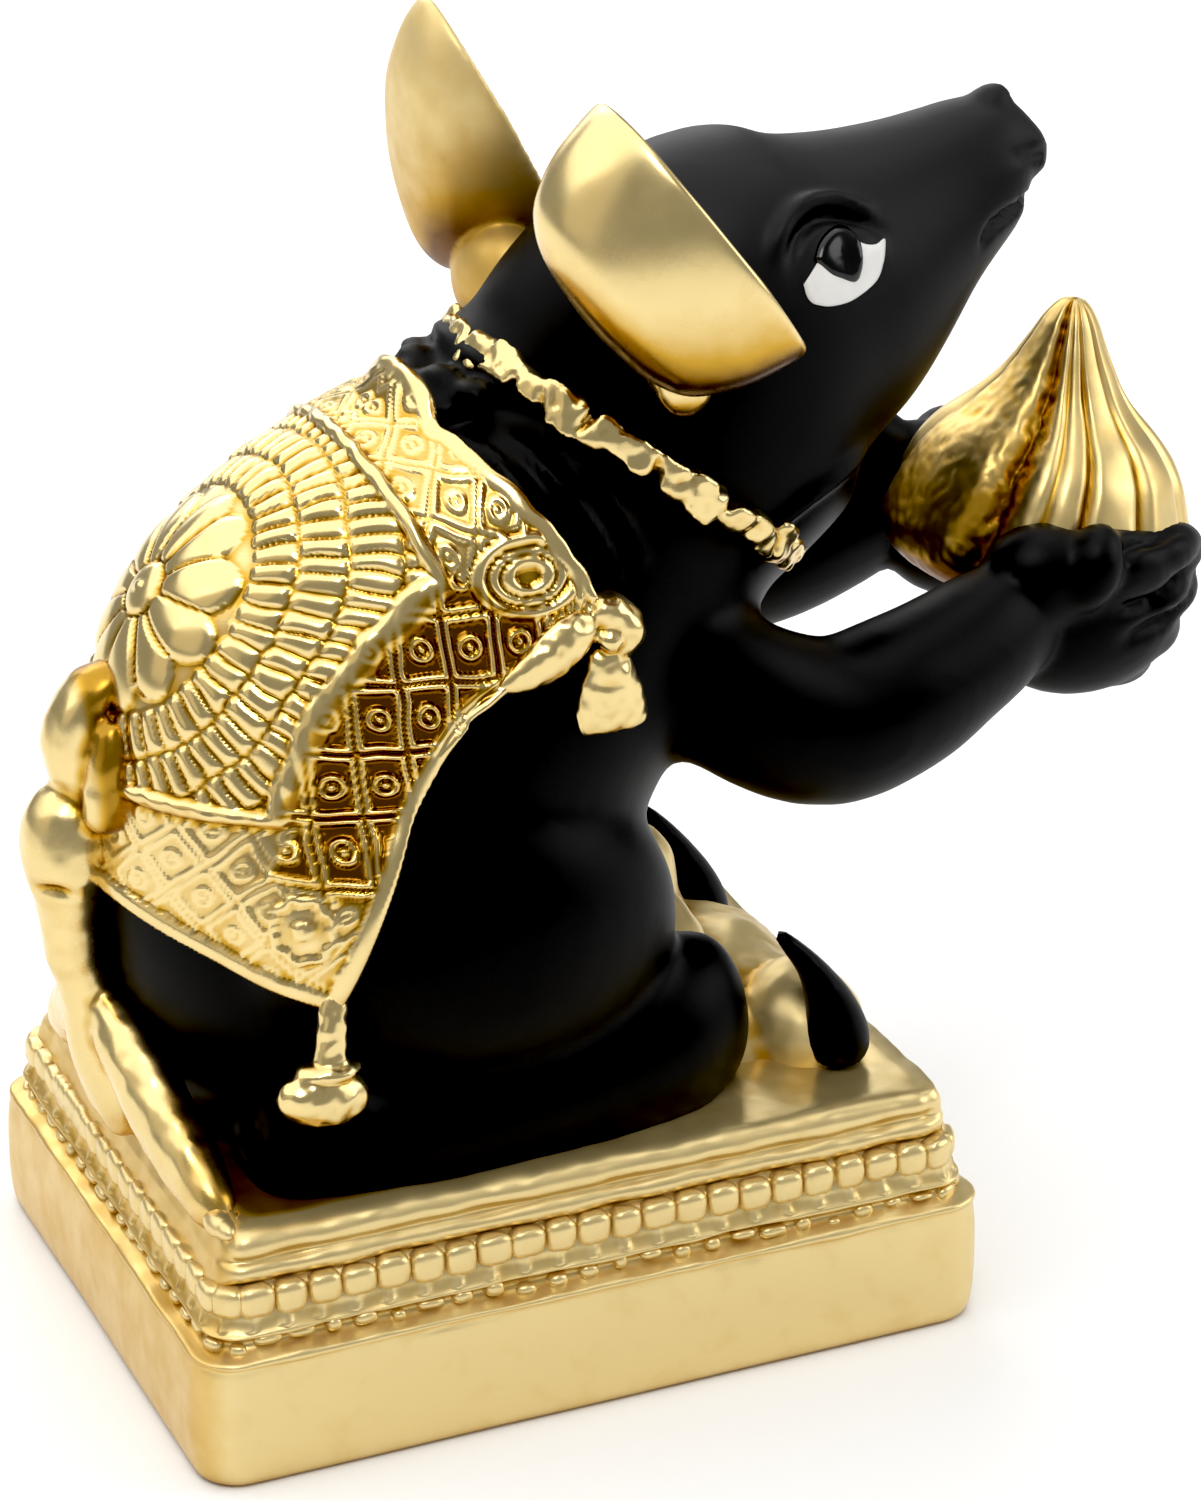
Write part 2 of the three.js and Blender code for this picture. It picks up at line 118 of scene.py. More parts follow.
FINGER_GAPS = [
    [(42.0, 10.8, 50.8), (44.6, 10.6, 51.2), (47.9, 10.4, 51.8), (50.6, 9.4, 52.4)],
    [(44.2, 11.4, 48.0), (47, 11.2, 48.6), (49.6, 10.4, 49.4), (52, 8.6, 50.2)],
    [(44.6, 11.6, 45.6), (47, 11.4, 46.2), (49.3, 10.4, 46.9), (51.6, 8.4, 47.6)],
]
MOUND = [
    (2, 0, 17, 11, 13.5), (9, 0, 17, 10.8, 13.8), (12.6, 0, 17, 10.8, 13), (14.4, 0, 17, 11, 11.2),
    (15.8, 0, 17, 11.3, 8), (17.2, 0, 17, 11.4, 6.2), (19.5, 0, 17, 11.4, 5.9), (22.0, 0, 17, 11.2, 5.5),
    (24.8, 0, 16.8, 11, 3.5), (27.0, 0, 16.4, 10.5, 1.6),
]
MOUND_SHOULDERS = [((21.0, -9.0, 18.2), (4.6, 4.8, 5.2)), ((14.5, 7.0, 23.0), (4.2, 4.5, 6.5))]
HAUNCH = ((-6.4, 10.8, 33.6), (16.8, 9.5, 12.8), 18)
TAIL_LOOP = [
    (-24.5, 0, 50.2, 2.4, 1.7), (-27.8, 0, 49.4, 2.6, 1.8), (-29.6, 0, 46.0, 2.6, 1.75),
    (-28.8, 0, 41.4, 2.6, 1.8),
]
TAIL_DROP = [
    (-29.8, 0, 43.0, 2.8, 2.2), (-30.1, 0, 40.4, 3.5, 3.3), (-30.1, 0, 37.4, 3.5, 3.2), (-30.2, 0, 34.6, 2.6, 2.3),
    (-29.9, 0, 31, 2.3, 2.1), (-29.0, 0, 27, 2.3, 2.1), (-27.9, 0, 22, 3.4, 2.8), (-26.6, 0, 16, 4.6, 3.2),
]
TAIL_CREASE = [(-33.4, -0.6, 36.0), (-32.0, -2.6, 36.4), (-30.0, -3.6, 35.6), (-28.4, -3.4, 35.2)]
# the slope of casting on each side of the tail, down the rat's rump to the plinth's corner
TAIL_SKIRT = [
    (-28.6, 0.5, 28.0, 1.6, 1.8), (-27.8, 3.5, 25.0, 2.6, 2.2), (-27.0, 7, 22.4, 2.8, 2.3), (-26.4, 10.5, 20.2, 2.8, 2.3),
    (-25.9, 14, 18.2, 2.5, 2.1), (-25.5, 17.0, 16.6, 2.2, 1.8),
]
TAIL_FILLER = [(-27.2, 3.0, 48.4, 1.3, 1.4), (-28.0, 3.4, 44.4, 1.7, 1.6), (-28.4, 3.4, 40.6, 1.8, 1.9)]
TASSEL_STEM = [
    (-17.4, 17.4, 33.2, 1.1, 1.2), (-17.9, 18.2, 30.8, 1.0, 1.05), (-18.2, 18.6, 28.9, 1.0, 1.15),
    (-18.4, 18.8, 27.2, 1.3, 1.9),
]
TASSEL_BALL = ((-18.9, 18.9, 26.0), (3.25, 1.9, 2.05))
CLOTH_FOLD = [
    (-5.0, 16.4, 51.9, 0.7, 0.8), (-2.2, 16.5, 53.2, 1.0, 1.5), (0.3, 16.0, 54.7, 1.1, 1.7), (2.4, 15.4, 55.6, 1.0, 1.3),
]
PENDANT_KNOT = [
    (1.4, 14.6, 55.2, 1.3, 1.3), (3.1, 15.2, 55.8, 1.6, 1.4), (4.4, 15.6, 54.4, 1.5, 1.4),
    (3.4, 15.6, 52.8, 1.2, 1.3),
]
PENDANT_TAG = [
    (3.1, 15.3, 53.6, 1.0, 1.3), (3.1, 15.7, 51.8, 1.1, 1.9), (3.2, 15.8, 49.8, 1.1, 2.5),
    (3.3, 15.6, 47.4, 1.1, 3.1),
]

# Blobs of black paint on the cloth's edge behind the neck
NECK_PAINT = [(-4.6, 0.6, 68.3), (-3.2, 2.4, 69.0), (-2.0, 5.0, 68.6)]

# Ears: the way each cup opens, the two tips of its rim, its depth, and how much deeper its low end is
RIGHT_EAR = ((0.807, -0.079, 0.582), (3.2, -14, 90), (15, -19.9, 73.5), 9.5, 0.0)
LEFT_EAR = ((0.848, -0.131, 0.513), (3.2, 14, 90), (14, 19, 71.6), 7.9, 0.45)
EAR_HALF_WIDTH = 7.2
EAR_DROP = [(8.4, 15.8, 68.8, 1.2, 1.5), (9, 14.6, 71, 2.4, 2.2), (10.6, 10, 72.4, 3, 3)]
LEFT_EAR_DROP = [(8.4, 16.2, 68.8, 1.0, 1.2), (8.6, 16.0, 70.2, 2.0, 1.9), (7.8, 14.2, 71.2, 2.6, 2.4)]
# the cup's profile from the middle of its back, over the rim and into the dish, in shares of its size
EAR_BOWL = [
    (0, -1), (0.24, -0.985), (0.45, -0.95), (0.62, -0.88), (0.75, -0.78), (0.85, -0.62),
    (0.93, -0.42), (0.98, -0.2), (1, -0.04), (0.985, 0.02), (0.94, 0.03), (0.9, -0.04),
    (0.87, -0.16), (0.8, -0.3), (0.68, -0.42), (0.55, -0.5), (0.3, -0.56), (0, -0.58),
]

# Sweet: radius and height of its outline, above its foot
SWEET_FOOT = (43.4, 0, 45.6)
SWEET_TIP = (46.6, 0, 67.5)
SWEET_OUTLINE = [
    (0, 0), (5.5, 0.5), (9, 1.6), (10.6, 3.0), (11.0, 4.8), (10.7, 6.4), (10.0, 8.4), (9.1, 10.4), (7.7, 12.3),
    (5.9, 14.0), (4.5, 15.6), (3.5, 17.2), (2.6, 19.0), (1.8, 20.6), (0.9, 21.8), (0, 22.1),
]

# Necklace: middle, the ring's two half sizes, and the way down its front
NECKLACE_MIDDLE = (11.2, 0, 61.8)
NECKLACE_LONG = 14.1
NECKLACE_WIDE = 13.2
NECKLACE_FRONT = (0.8, 0, -0.6)
NECKLACE_AXIS = (0.6, 0, 0.8)

# Plinth: height and inset from its outline, from the underside to the top
PLINTH_LENGTH = 59.2
PLINTH_WIDTH = 47.0
PLINTH_CORNER = 3.2
PLINTH_TOP = 17.7
PLINTH_PROFILE = [
    (0, 0.9), (0.3, 0.45), (1.0, 0.2), (2.4, 0.04), (4.6, 0), (7, 0.06), (8.5, 0.2), (9.1, 0.3), (9.35, 0.2),
    (9.6, 0.3), (9.75, 0.8), (9.95, 1.4), (10.3, 1.7), (10.7, 1.6), (10.9, 1.2), (11.1, 1.15), (11.3, 1.4),
    (11.8, 1.7), (12.3, 1.85), (12.7, 2.1), (13.1, 2.2), (13.7, 2.4), (14.0, 2.8), (14.2, 2.85), (14.5, 2.45),
    (15.0, 2.3), (15.4, 2.45), (15.65, 2.9), (15.85, 3.0), (16.1, 2.9), (16.4, 2.75), (16.9, 2.8), (17.3, 3.1),
    (17.6, 3.7), (17.66, 4.4), (17.6, 5.4), (17.6, 6.6), (17.6, 8), (17.6, 10), (17.6, 13),
]
# height and inset above the beads at the rear and at the front, where the mouldings are smeared to a slope
REAR_SLOPE = [(13.9, 2.1), (15.4, 2.6), (16.8, 3.3), (17.5, 4.0), (17.7, 4.8)]
FRONT_SLOPE = [(13.9, 2.1), (15.4, 2.2), (16.8, 2.4), (17.5, 2.7), (17.7, 3.5)]
TICK_LEVELS = (11.3, 12.6)
CRUMB_COUNT = 26
# half sizes of the beads: outward, along the row and up
BEAD_HALVES = (0.85, 1.22, 1.12)
SMALL_BEAD_HALVES = (0.5, 0.75, 0.42)
# the stretch of the bead row, in distance round the plinth, where it is a plain round moulding
SMOOTH_RUN = (110.5, 117.0)

# Saddle cloth: where it lies on the body, seen from the side (X, Z)
CLOTH_POLE = (-2.0, 0.0, 44.0)
CLOTH_FRONT = [(-4.4, 75), (-4.2, 66.4), (1.6, 61.6), (3.1, 55.4)]
CLOTH_BELLY = [(-6.9, 49.9), (-12, 44), (-16.9, 31.4)]
CLOTH_REAR = [(-20, 32.4), (-26, 34.6), (-34, 39.5), (-34, 75)]
CLOTH_THICKNESS = 0.75


class FigurineSizes(bpy.types.PropertyGroup):
    """Sizes that set how finely the figurine is modelled and how deep its carving is."""

    skin_grain: bpy.props.FloatProperty(
        name="Skin grain", description="Edge length of the body's faces, in millimetres",
        default=0.46, min=0.3, max=2.0)
    cloth_grain: bpy.props.FloatProperty(
        name="Cloth grain", description="Edge length of the saddle cloth's faces, in millimetres",
        default=0.2, min=0.15, max=2.0)
    relief: bpy.props.FloatProperty(
        name="Relief", description="Depth of the saddle cloth's carving, in millimetres",
        default=0.55, min=0.0, max=1.5)
    bead_pitch: bpy.props.FloatProperty(
        name="Bead pitch", description="Distance between the plinth's beads, in millimetres",
        default=2.55, min=1.5, max=6.0)
    necklace_blocks: bpy.props.IntProperty(
        name="Necklace blocks", description="Number of gold lumps round the necklace",
        default=46, min=12, max=90)
    fold_depth: bpy.props.FloatProperty(
        name="Fold depth", description="How deep the sweet's folds are, as a share of their full depth",
        default=1.0, min=0.0, max=1.5)


class FigurineColours(bpy.types.PropertyGroup):
    """Colours of the figurine's finishes and of the studio."""

    gold: bpy.props.FloatVectorProperty(
        name="Gold", description="Plating on raised places", subtype="COLOR", size=3,
        default=(0.79, 0.62, 0.29), min=0.0, max=1.0)
    # painted shade: the plating turns amber in hollows, on undersides and where darkening is stored, and a little with
    # its random unevenness
    shade_amber: bpy.props.FloatVectorProperty(
        name="Amber", description="Plating in hollows", subtype="COLOR", size=3,
        default=(0.58, 0.34, 0.045), min=0.0, max=1.0)
    # painted shade: the darkest tone, in the deepest hollows
    shade_brown: bpy.props.FloatVectorProperty(
        name="Brown", description="Plating in the deepest places", subtype="COLOR", size=3,
        default=(0.17, 0.07, 0.008), min=0.0, max=1.0)
    black: bpy.props.FloatVectorProperty(
        name="Black", description="Enamel on the rat's body", subtype="COLOR", size=3,
        default=(0.0003, 0.0003, 0.0004), min=0.0, max=1.0)
    # painted sheen: a greyer enamel that stands in for the soft sheen on the head and arms
    painted_sheen: bpy.props.FloatVectorProperty(
        name="Rubbed black", description="Enamel where the head and arms are rubbed", subtype="COLOR", size=3,
        default=(0.017, 0.017, 0.018), min=0.0, max=1.0)
    white: bpy.props.FloatVectorProperty(
        name="White", description="Enamel in the eyes", subtype="COLOR", size=3,
        default=(0.78, 0.77, 0.74), min=0.0, max=1.0)
    floor: bpy.props.FloatVectorProperty(
        name="Floor", description="Studio floor", subtype="COLOR", size=3,
        default=(0.93, 0.93, 0.93), min=0.0, max=1.0)


def unit(vectors):
    """The same vectors, one unit long."""
    vectors = np.asarray(vectors, float)
    length = np.linalg.norm(vectors, axis=-1, keepdims=True)
    return vectors / np.maximum(length, 1e-9)


def flow(rows, shares):
    """Points on a smooth curve through the rows, at shares from 0 to 1 of the way along it."""
    rows = np.asarray(rows, float)
    ends = np.vstack([2 * rows[0] - rows[1], rows, 2 * rows[-1] - rows[-2]])
    spot = np.clip(np.asarray(shares, float), 0, 1) * (len(rows) - 1)
    first = np.minimum(spot.astype(int), len(rows) - 2)
    part = (spot - first)[:, None]
    a, b, c, d = (ends[first + step] for step in range(4))
    return 0.5 * (2 * b + (c - a) * part + (2 * a - 5 * b + 4 * c - d) * part ** 2
                  + (3 * b - a - 3 * c + d) * part ** 3)


def soft_step(low, high, value):
    """0 below low, 1 above high, and smooth between them."""
    share = np.clip((value - low) / (high - low), 0, 1)
    return share * share * (3 - 2 * share)


def bump(distance, radius):
    """A round-topped bump, 1 at no distance and 0 from the radius on."""
    return np.sqrt(np.clip(1 - (distance / radius) ** 2, 0, 1))


def wander(points, size, seed=0.0):
    """Smooth noise from -1 to 1 at each point, with lumps of about the given size."""
    shift = Vector((seed, 0.37 * seed, -0.71 * seed))
    return np.array([noise.noise(Vector(point) / size + shift) for point in points])


def mirrored(stations, side):
    """A limb's stations for the right side (-1) or the left side (1)."""
    return [(x, side * y, z, wide, high) for x, y, z, wide, high in stations]


def start():
    """Leaves edit mode and selects nothing."""
    if bpy.context.object and bpy.context.object.mode != "OBJECT":
        bpy.ops.object.mode_set(mode="OBJECT")
    bpy.ops.object.select_all(action="DESELECT")


def points_of(piece):
    flat = np.empty(3 * len(piece.data.vertices))
    piece.data.vertices.foreach_get("co", flat)
    return flat.reshape(-1, 3)


def normals_of(piece):
    flat = np.empty(3 * len(piece.data.vertices), np.float32)
    piece.data.vertex_normals.foreach_get("vector", flat)
    return flat.reshape(-1, 3).astype(float)


def move_points(piece, points):
    piece.data.vertices.foreach_set("co", np.asarray(points, float).ravel())
    piece.data.update()


def make_active(piece):
    start()
    piece.select_set(True)
    bpy.context.view_layer.objects.active = piece


def joined(name, pieces):
    """One object from several."""
    start()
    for piece in pieces:
        piece.select_set(True)
    bpy.context.view_layer.objects.active = pieces[0]
    bpy.ops.object.join()
    pieces[0].name = name
    pieces[0].data.name = name
    return pieces[0]


def apply_modifier(piece, kind, **settings):
    """Adds a modifier with its settings and applies it."""
    make_active(piece)
    modifier = piece.modifiers.new(kind.title(), kind)
    for key, value in settings.items():
        setattr(modifier, key, value)
    bpy.ops.object.modifier_apply(modifier=modifier.name)


def one_skin(piece, grain, smoothing):
    """Makes overlapping closed lumps one closed skin, and softens where they meet."""
    apply_modifier(piece, "REMESH", mode="VOXEL", voxel_size=grain)
    apply_modifier(piece, "SMOOTH", factor=0.5, iterations=smoothing)


def limb(name, stations, blunt=3.0, level=False, sides=40, rings=32):
    """A round-ended body along a spine: a sphere whose vertices move out to the sections they belong to."""
    start()
    bpy.ops.mesh.primitive_uv_sphere_add(segments=sides, ring_count=rings, radius=1.0)
    piece = bpy.context.object
    piece.name = name
    ball = points_of(piece)
    along = np.clip(ball[:, 2], -1, 1)
    share = (1 + along) / 2
    ring = np.maximum(np.hypot(ball[:, 0], ball[:, 1]), 1e-9)
    full = (1 - np.abs(along) ** blunt) ** (1 / blunt)
    rows = flow(stations, share)
    ahead = flow(stations, share + 0.01) - flow(stations, share - 0.01)
    tangent = np.tile(UP, (len(ball), 1)) if level else unit(ahead[:, :3])
    side = unit(LEFT - tangent * (tangent @ LEFT)[:, None])
    rise = np.cross(side, tangent)
    out = (ball[:, 0] / ring * rows[:, 3] * full)[:, None] * side
    over = (ball[:, 1] / ring * rows[:, 4] * full)[:, None] * rise
    move_points(piece, rows[:, :3] + out + over)
    return piece


def lump(name, middle, halves, lean=0.0, sides=32, rings=20):
    """An egg-shaped lump with its own half sizes, leaned about the rat's left-right axis."""
    start()
    bpy.ops.mesh.primitive_uv_sphere_add(segments=sides, ring_count=rings, radius=1.0)
    piece = bpy.context.object
    piece.name = name
    turn = np.array(Matrix.Rotation(math.radians(lean), 3, "Y"))
    move_points(piece, points_of(piece) * np.array(halves) @ turn.T + np.array(middle))
    return piece


def near_path(points, path, samples=60):
    """How far each point is from a smooth path, and how far along the path its nearest place is."""
    line = flow(path, np.linspace(0, 1, samples))
    best = np.full(len(points), 1e9)
    share = np.zeros(len(points))
    for a, b, place in zip(line[:-1], line[1:], range(samples - 1)):
        run = b - a
        part = np.clip((points - a) @ run / max(run @ run, 1e-12), 0, 1)
        gap = np.linalg.norm(points - a - part[:, None] * run, axis=1)
        closer = gap < best
        best[closer] = gap[closer]
        share[closer] = (place + part[closer]) / (samples - 1)
    return best, share


def press(piece, path, width, depth):
    """Presses a groove along a path into a piece, or raises a fold where the depth is negative."""
    points = points_of(piece)
    gap, share = near_path(points, path)
    fade = np.sin(np.pi * np.clip(share, 0.02, 0.98)) ** 0.5
    move_points(piece, points - normals_of(piece) * (depth * fade * np.exp(-(gap / width) ** 2))[:, None])


def on_skin(piece, path):
    """The nearest points of a piece's skin to the places on a path."""
    points = points_of(piece)
    return [tuple(points[np.argmin(np.linalg.norm(points - np.array(place), axis=1))]) for place in path]


def roughen(piece, size, height, seed=0.0):
    """Makes a surface slightly uneven, as cast and hand finished."""
    points = points_of(piece)
    move_points(piece, points + normals_of(piece) * (height * wander(points, size, seed))[:, None])


def paint_stain_and_shade(piece, shade):
    """Stores how much darker the plating is painted at each vertex, from 0 to 1: painted shade in most places, an
    uneven darker tone in a few.
    """
    attribute = piece.data.attributes.new("stain_and_shade", "FLOAT", "POINT")
    attribute.data.foreach_set("value", np.asarray(shade, np.float32))


def mark_painted_shade(piece, spread, reach, under=0.35):
    """Stores painted shade for the plating to read, from 0 to 1: darker the deeper a vertex lies in a hollow, darker on
    undersides as a painted reflection, and darker where the piece's stain or painted shade is stored.
    """
    points = points_of(piece)
    edges = np.empty(2 * len(piece.data.edges), int)
    piece.data.edges.foreach_get("vertices", edges)
    a, b = edges.reshape(-1, 2).T
    count = np.bincount(np.concatenate([a, b]), minlength=len(points))[:, None]
    smooth = points.copy()
    for _ in range(spread):
        total = np.zeros_like(smooth)
        for axis in range(3):
            total[:, axis] = (np.bincount(a, smooth[b, axis], len(points))
                              + np.bincount(b, smooth[a, axis], len(points)))
        smooth = total / np.maximum(count, 1)
    normals = normals_of(piece)
    # painted shade in hollows, and painted reflection of the dark things below on faces that look down
    hollow = np.einsum("ij,ij->i", smooth - points, normals) / reach
    hollow = np.clip(hollow, 0, 1) + under * soft_step(0.0, 0.9, -normals[:, 2])
    stain_and_shade = piece.data.attributes.get("stain_and_shade")
    if stain_and_shade:
        shade = np.empty(len(points), np.float32)
        stain_and_shade.data.foreach_get("value", shade)
        hollow += 0.8 * shade
    attribute = piece.data.attributes.new("painted_shade", "FLOAT", "POINT")
    attribute.data.foreach_set("value", np.clip(hollow, 0, 1).astype(np.float32))


def finish(piece, name, material):
    """Gives a finished piece its metres, its shading, its finish and its place on the solid."""
    make_active(piece)
    piece.name = name
    piece.data.name = name
    piece.data.transform(Matrix.Scale(MM, 4))
    bpy.ops.object.shade_smooth()
    piece.data.materials.clear()
    piece.data.materials.append(material)
    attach(piece, "root")
    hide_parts(NODE)
    return piece


def surface_of(piece):
    """The search tree of a piece's surface, for laying other pieces on it."""
    mesh = bmesh.new()
    mesh.from_mesh(piece.data)
    tree = BVHTree.FromBMesh(mesh)
    mesh.free()
    return tree


# Finishes

def new_material(name):
    material = bpy.data.materials.new(name)
    material.use_nodes = True
    nodes = material.node_tree.nodes
    shader = nodes["Principled BSDF"]
    return material, nodes, material.node_tree.links, shader


def noise_node(nodes, links, scale, detail, roughness=0.5):
    """Noise on the piece's own coordinates, with the given lumps to the metre."""
    place = nodes.new("ShaderNodeTexCoord")
    texture = nodes.new("ShaderNodeTexNoise")
    texture.inputs["Scale"].default_value = scale
    texture.inputs["Detail"].default_value = detail
    texture.inputs["Roughness"].default_value = roughness
    links.new(place.outputs["Object"], texture.inputs["Vector"])
    return texture


def ranged(nodes, links, source, low, high, start_value=0.0, end_value=1.0):
    """A number mapped from one range to another."""
    spread = nodes.new("ShaderNodeMapRange")
    spread.inputs["From Min"].default_value = start_value
    spread.inputs["From Max"].default_value = end_value
    spread.inputs["To Min"].default_value = low
    spread.inputs["To Max"].default_value = high
    links.new(source, spread.inputs["Value"])
    return spread.outputs["Result"]


def gold_finish(name, rough_low, rough_high, bump_height, metal=1.0):
    """Plating that is pale on raised places and turns to amber and brown where shade is painted, with a fine cast
    grain.
    """
    colours = bpy.context.scene.figurine_colours
    material, nodes, links, shader = new_material(name)
    shader.inputs["Metallic"].default_value = metal
    painted_shade = nodes.new("ShaderNodeAttribute")
    painted_shade.attribute_name = "painted_shade"
    clouds = noise_node(nodes, links, 420.0, 3.0)
    # painted shade, plus some random unevenness, sets how far the plating turns from gold to amber and brown
    uneven = nodes.new("ShaderNodeMath")
    uneven.operation = "MULTIPLY_ADD"
    links.new(clouds.outputs["Fac"], uneven.inputs[0])
    uneven.inputs[1].default_value = 0.25
    links.new(painted_shade.outputs["Fac"], uneven.inputs[2])
    tones = nodes.new("ShaderNodeValToRGB")
    tones.color_ramp.elements[0].position = 0.14
    tones.color_ramp.elements[0].color = (*colours.gold, 1.0)
    tones.color_ramp.elements[1].position = 1.0
    tones.color_ramp.elements[1].color = (*colours.shade_brown, 1.0)
    middle = tones.color_ramp.elements.new(0.55)
    middle.color = (*colours.shade_amber, 1.0)
    links.new(uneven.outputs["Value"], tones.inputs["Fac"])
    links.new(tones.outputs["Color"], shader.inputs["Base Color"])
    links.new(ranged(nodes, links, clouds.outputs["Fac"], rough_low, rough_high, 0.3, 0.7),
              shader.inputs["Roughness"])
    grain = noise_node(nodes, links, 2600.0, 4.0, 0.6)
    relief = nodes.new("ShaderNodeBump")
    relief.inputs["Strength"].default_value = 0.12
    relief.inputs["Distance"].default_value = bump_height
    links.new(grain.outputs["Fac"], relief.inputs["Height"])
    links.new(relief.outputs["Normal"], shader.inputs["Normal"])
    return material


def black_finish():
    """Soft black enamel, lighter where a sheen is painted on the head and arms, with the faint grain of sprayed paint.
    """
    colours = bpy.context.scene.figurine_colours
    material, nodes, links, shader = new_material("black_enamel")
    # painted sheen: the base colour turns greyer where the sheen is stored on the body
    painted_sheen = nodes.new("ShaderNodeAttribute")
    painted_sheen.attribute_name = "painted_sheen"
    shade = nodes.new("ShaderNodeMix")
    shade.data_type = "RGBA"
    shade.inputs[6].default_value = (*colours.black, 1.0)
    shade.inputs[7].default_value = (*colours.painted_sheen, 1.0)
    links.new(painted_sheen.outputs["Fac"], shade.inputs["Factor"])
    links.new(shade.outputs[2], shader.inputs["Base Color"])
    clouds = noise_node(nodes, links, 160.0, 4.0)
    links.new(ranged(nodes, links, clouds.outputs["Fac"], 0.38, 0.5), shader.inputs["Roughness"])
    shader.inputs["Specular IOR Level"].default_value = 0.13
    grain = noise_node(nodes, links, 3200.0, 3.0, 0.6)
    relief = nodes.new("ShaderNodeBump")
    relief.inputs["Strength"].default_value = 0.25
    relief.inputs["Distance"].default_value = 0.00003
    links.new(grain.outputs["Fac"], relief.inputs["Height"])
    links.new(relief.outputs["Normal"], shader.inputs["Normal"])
    return material


def eye_finish(name, colour, roughness):
    """Brushed enamel in the eye, slightly streaky."""
    material, nodes, links, shader = new_material(name)
    clouds = noise_node(nodes, links, 900.0, 2.0)
    shade = nodes.new("ShaderNodeMix")
    shade.data_type = "RGBA"
    shade.inputs[6].default_value = (*colour, 1.0)
    shade.inputs[7].default_value = (*[0.86 * part for part in colour], 1.0)
    links.new(clouds.outputs["Fac"], shade.inputs["Factor"])
    links.new(shade.outputs[2], shader.inputs["Base Color"])
    shader.inputs["Roughness"].default_value = roughness
    return material


# Body

def trunk():
    """The torso, haunches, hind feet, neck and head as one soft skin."""
    torso_rows = [((rear + front) / 2, 0, z, half, (front - rear) / 2) for z, rear, front, half in TORSO]
    pieces = [
        limb("torso", torso_rows, blunt=5, level=True, sides=64, rings=48),
        limb("head", HEAD, blunt=4, sides=56, rings=48),
        lump("nape", *NAPE),
        limb("arm", mirrored(RIGHT_ARM, -1)),
        limb("arm", mirrored(LEFT_ARM, 1)),
    ]
    for side in SIDES:
        (x, y, z), halves, lean = HAUNCH
        pieces.append(lump("haunch", (x, side * y, z), halves, lean))
        pieces.append(limb("hind_foot", mirrored(HIND_FOOT, side), blunt=5))
        pieces.append(limb("sole", mirrored(SOLE, side), blunt=5))
    body = joined("body", pieces)
    one_skin(body, 0.7, 10)
    return body


def hand(side):
    """A palm, a thumb, a second fingertip and four curled fingers."""
    lift = LEFT_HAND_LIFT if side > 0 else 0.0
    pieces = [
        lump(name, (x, side * y, z + lift), halves, lean)
        for name, ((x, y, z), halves, lean) in HAND_LUMPS.items()
    ]
    for stations in [THUMB, FINGERTIP] + FINGERS:
        raised = [(x, side * y, z + lift, wide, high) for x, y, z, wide, high in stations]
        pieces.append(limb("finger", raised, blunt=2.4, sides=24, rings=20))
    return pieces


def nose():
    """The small peak at the snout's end and the blunt wedge below it."""
    return [
        lump("nose_peak", (39.1, 0, 83.0), (1.5, 1.4, 0.85), -12),
        limb("nose_wedge", NOSE_WEDGE, blunt=4, sides=32, rings=20),
    ]


def carve_face(body):
    """The nostrils, the mouth, the folds round the eyes, and a fold along the jaw."""
    for side in SIDES:
        nostril = [(42.6, side * 2.4, 79.1), (41.9, side * 3.2, 79.3), (40.2, side * 4.2, 79.7), (38.8, side * 4.6, 80)]
        mouth = [(42.2, side * 1.6, 76.4), (40.4, side * 3.5, 76.2), (38.2, side * 4.8, 75.8),
                 (36.6, side * 5.6, 75.2), (35.9, side * 6.0, 74.4)]
        brow = [(17.6, side * 9.5, 75.8), (18.4, side * 8.9, 77.5), (19.8, side * 7.9, 78.7),
                (21.4, side * 7.3, 79.3), (23.8, side * 6.7, 79.2), (26, side * 6.8, 78.5)]
        lid = [(18.8, side * 10, 74.2), (19.2, side * 9.5, 76.4), (20.4, side * 8.7, 77.9), (22.6, side * 7.8, 78.4),
               (25, side * 7.6, 77.9), (26.6, side * 7.9, 77)]
        jaw = [(15.6, side * 11.4, 58.0), (17.5, side * 10.8, 58.9), (19.8, side * 10.2, 60.2), (22.5, side * 9.4, 61.1),
               (25.6, side * 7.4, 62.2)]
        press(body, nostril, 0.55, 0.7)
        press(body, mouth, 0.42, 1.2)
        press(body, brow, 0.55, -1.1)
        press(body, lid, 0.42, 0.9)
        press(body, on_skin(body, jaw), 0.8, -0.8)


def carve_hands(body):
    """The gaps between the fingers."""
    for side in SIDES:
        lift = LEFT_HAND_LIFT if side > 0 else 0.0
        for path in FINGER_GAPS:
            press(body, on_skin(body, [(x, side * y, z + lift) for x, y, z in path]), 0.55, 0.8)


def carve_neck(body):
    """Soft folds of skin where the neck meets the cloth."""
    folds = [
        [(-1.5, -1, 70.5), (0.5, -6.5, 69), (3.6, -11.5, 64.4), (6.4, -13.6, 58.6)],
        [(-3.6, -1, 68.8), (-1.4, -7, 67.4), (1.6, -12, 63.4), (4.4, -14.2, 58)],
        [(-5.6, -1, 67.6), (-3.4, -7, 66.6), (-0.6, -12, 63)],
    ]
    for path in folds:
        for side in SIDES:
            press(body, [(x, -side * y, z) for x, y, z in path], 0.6, -0.6)


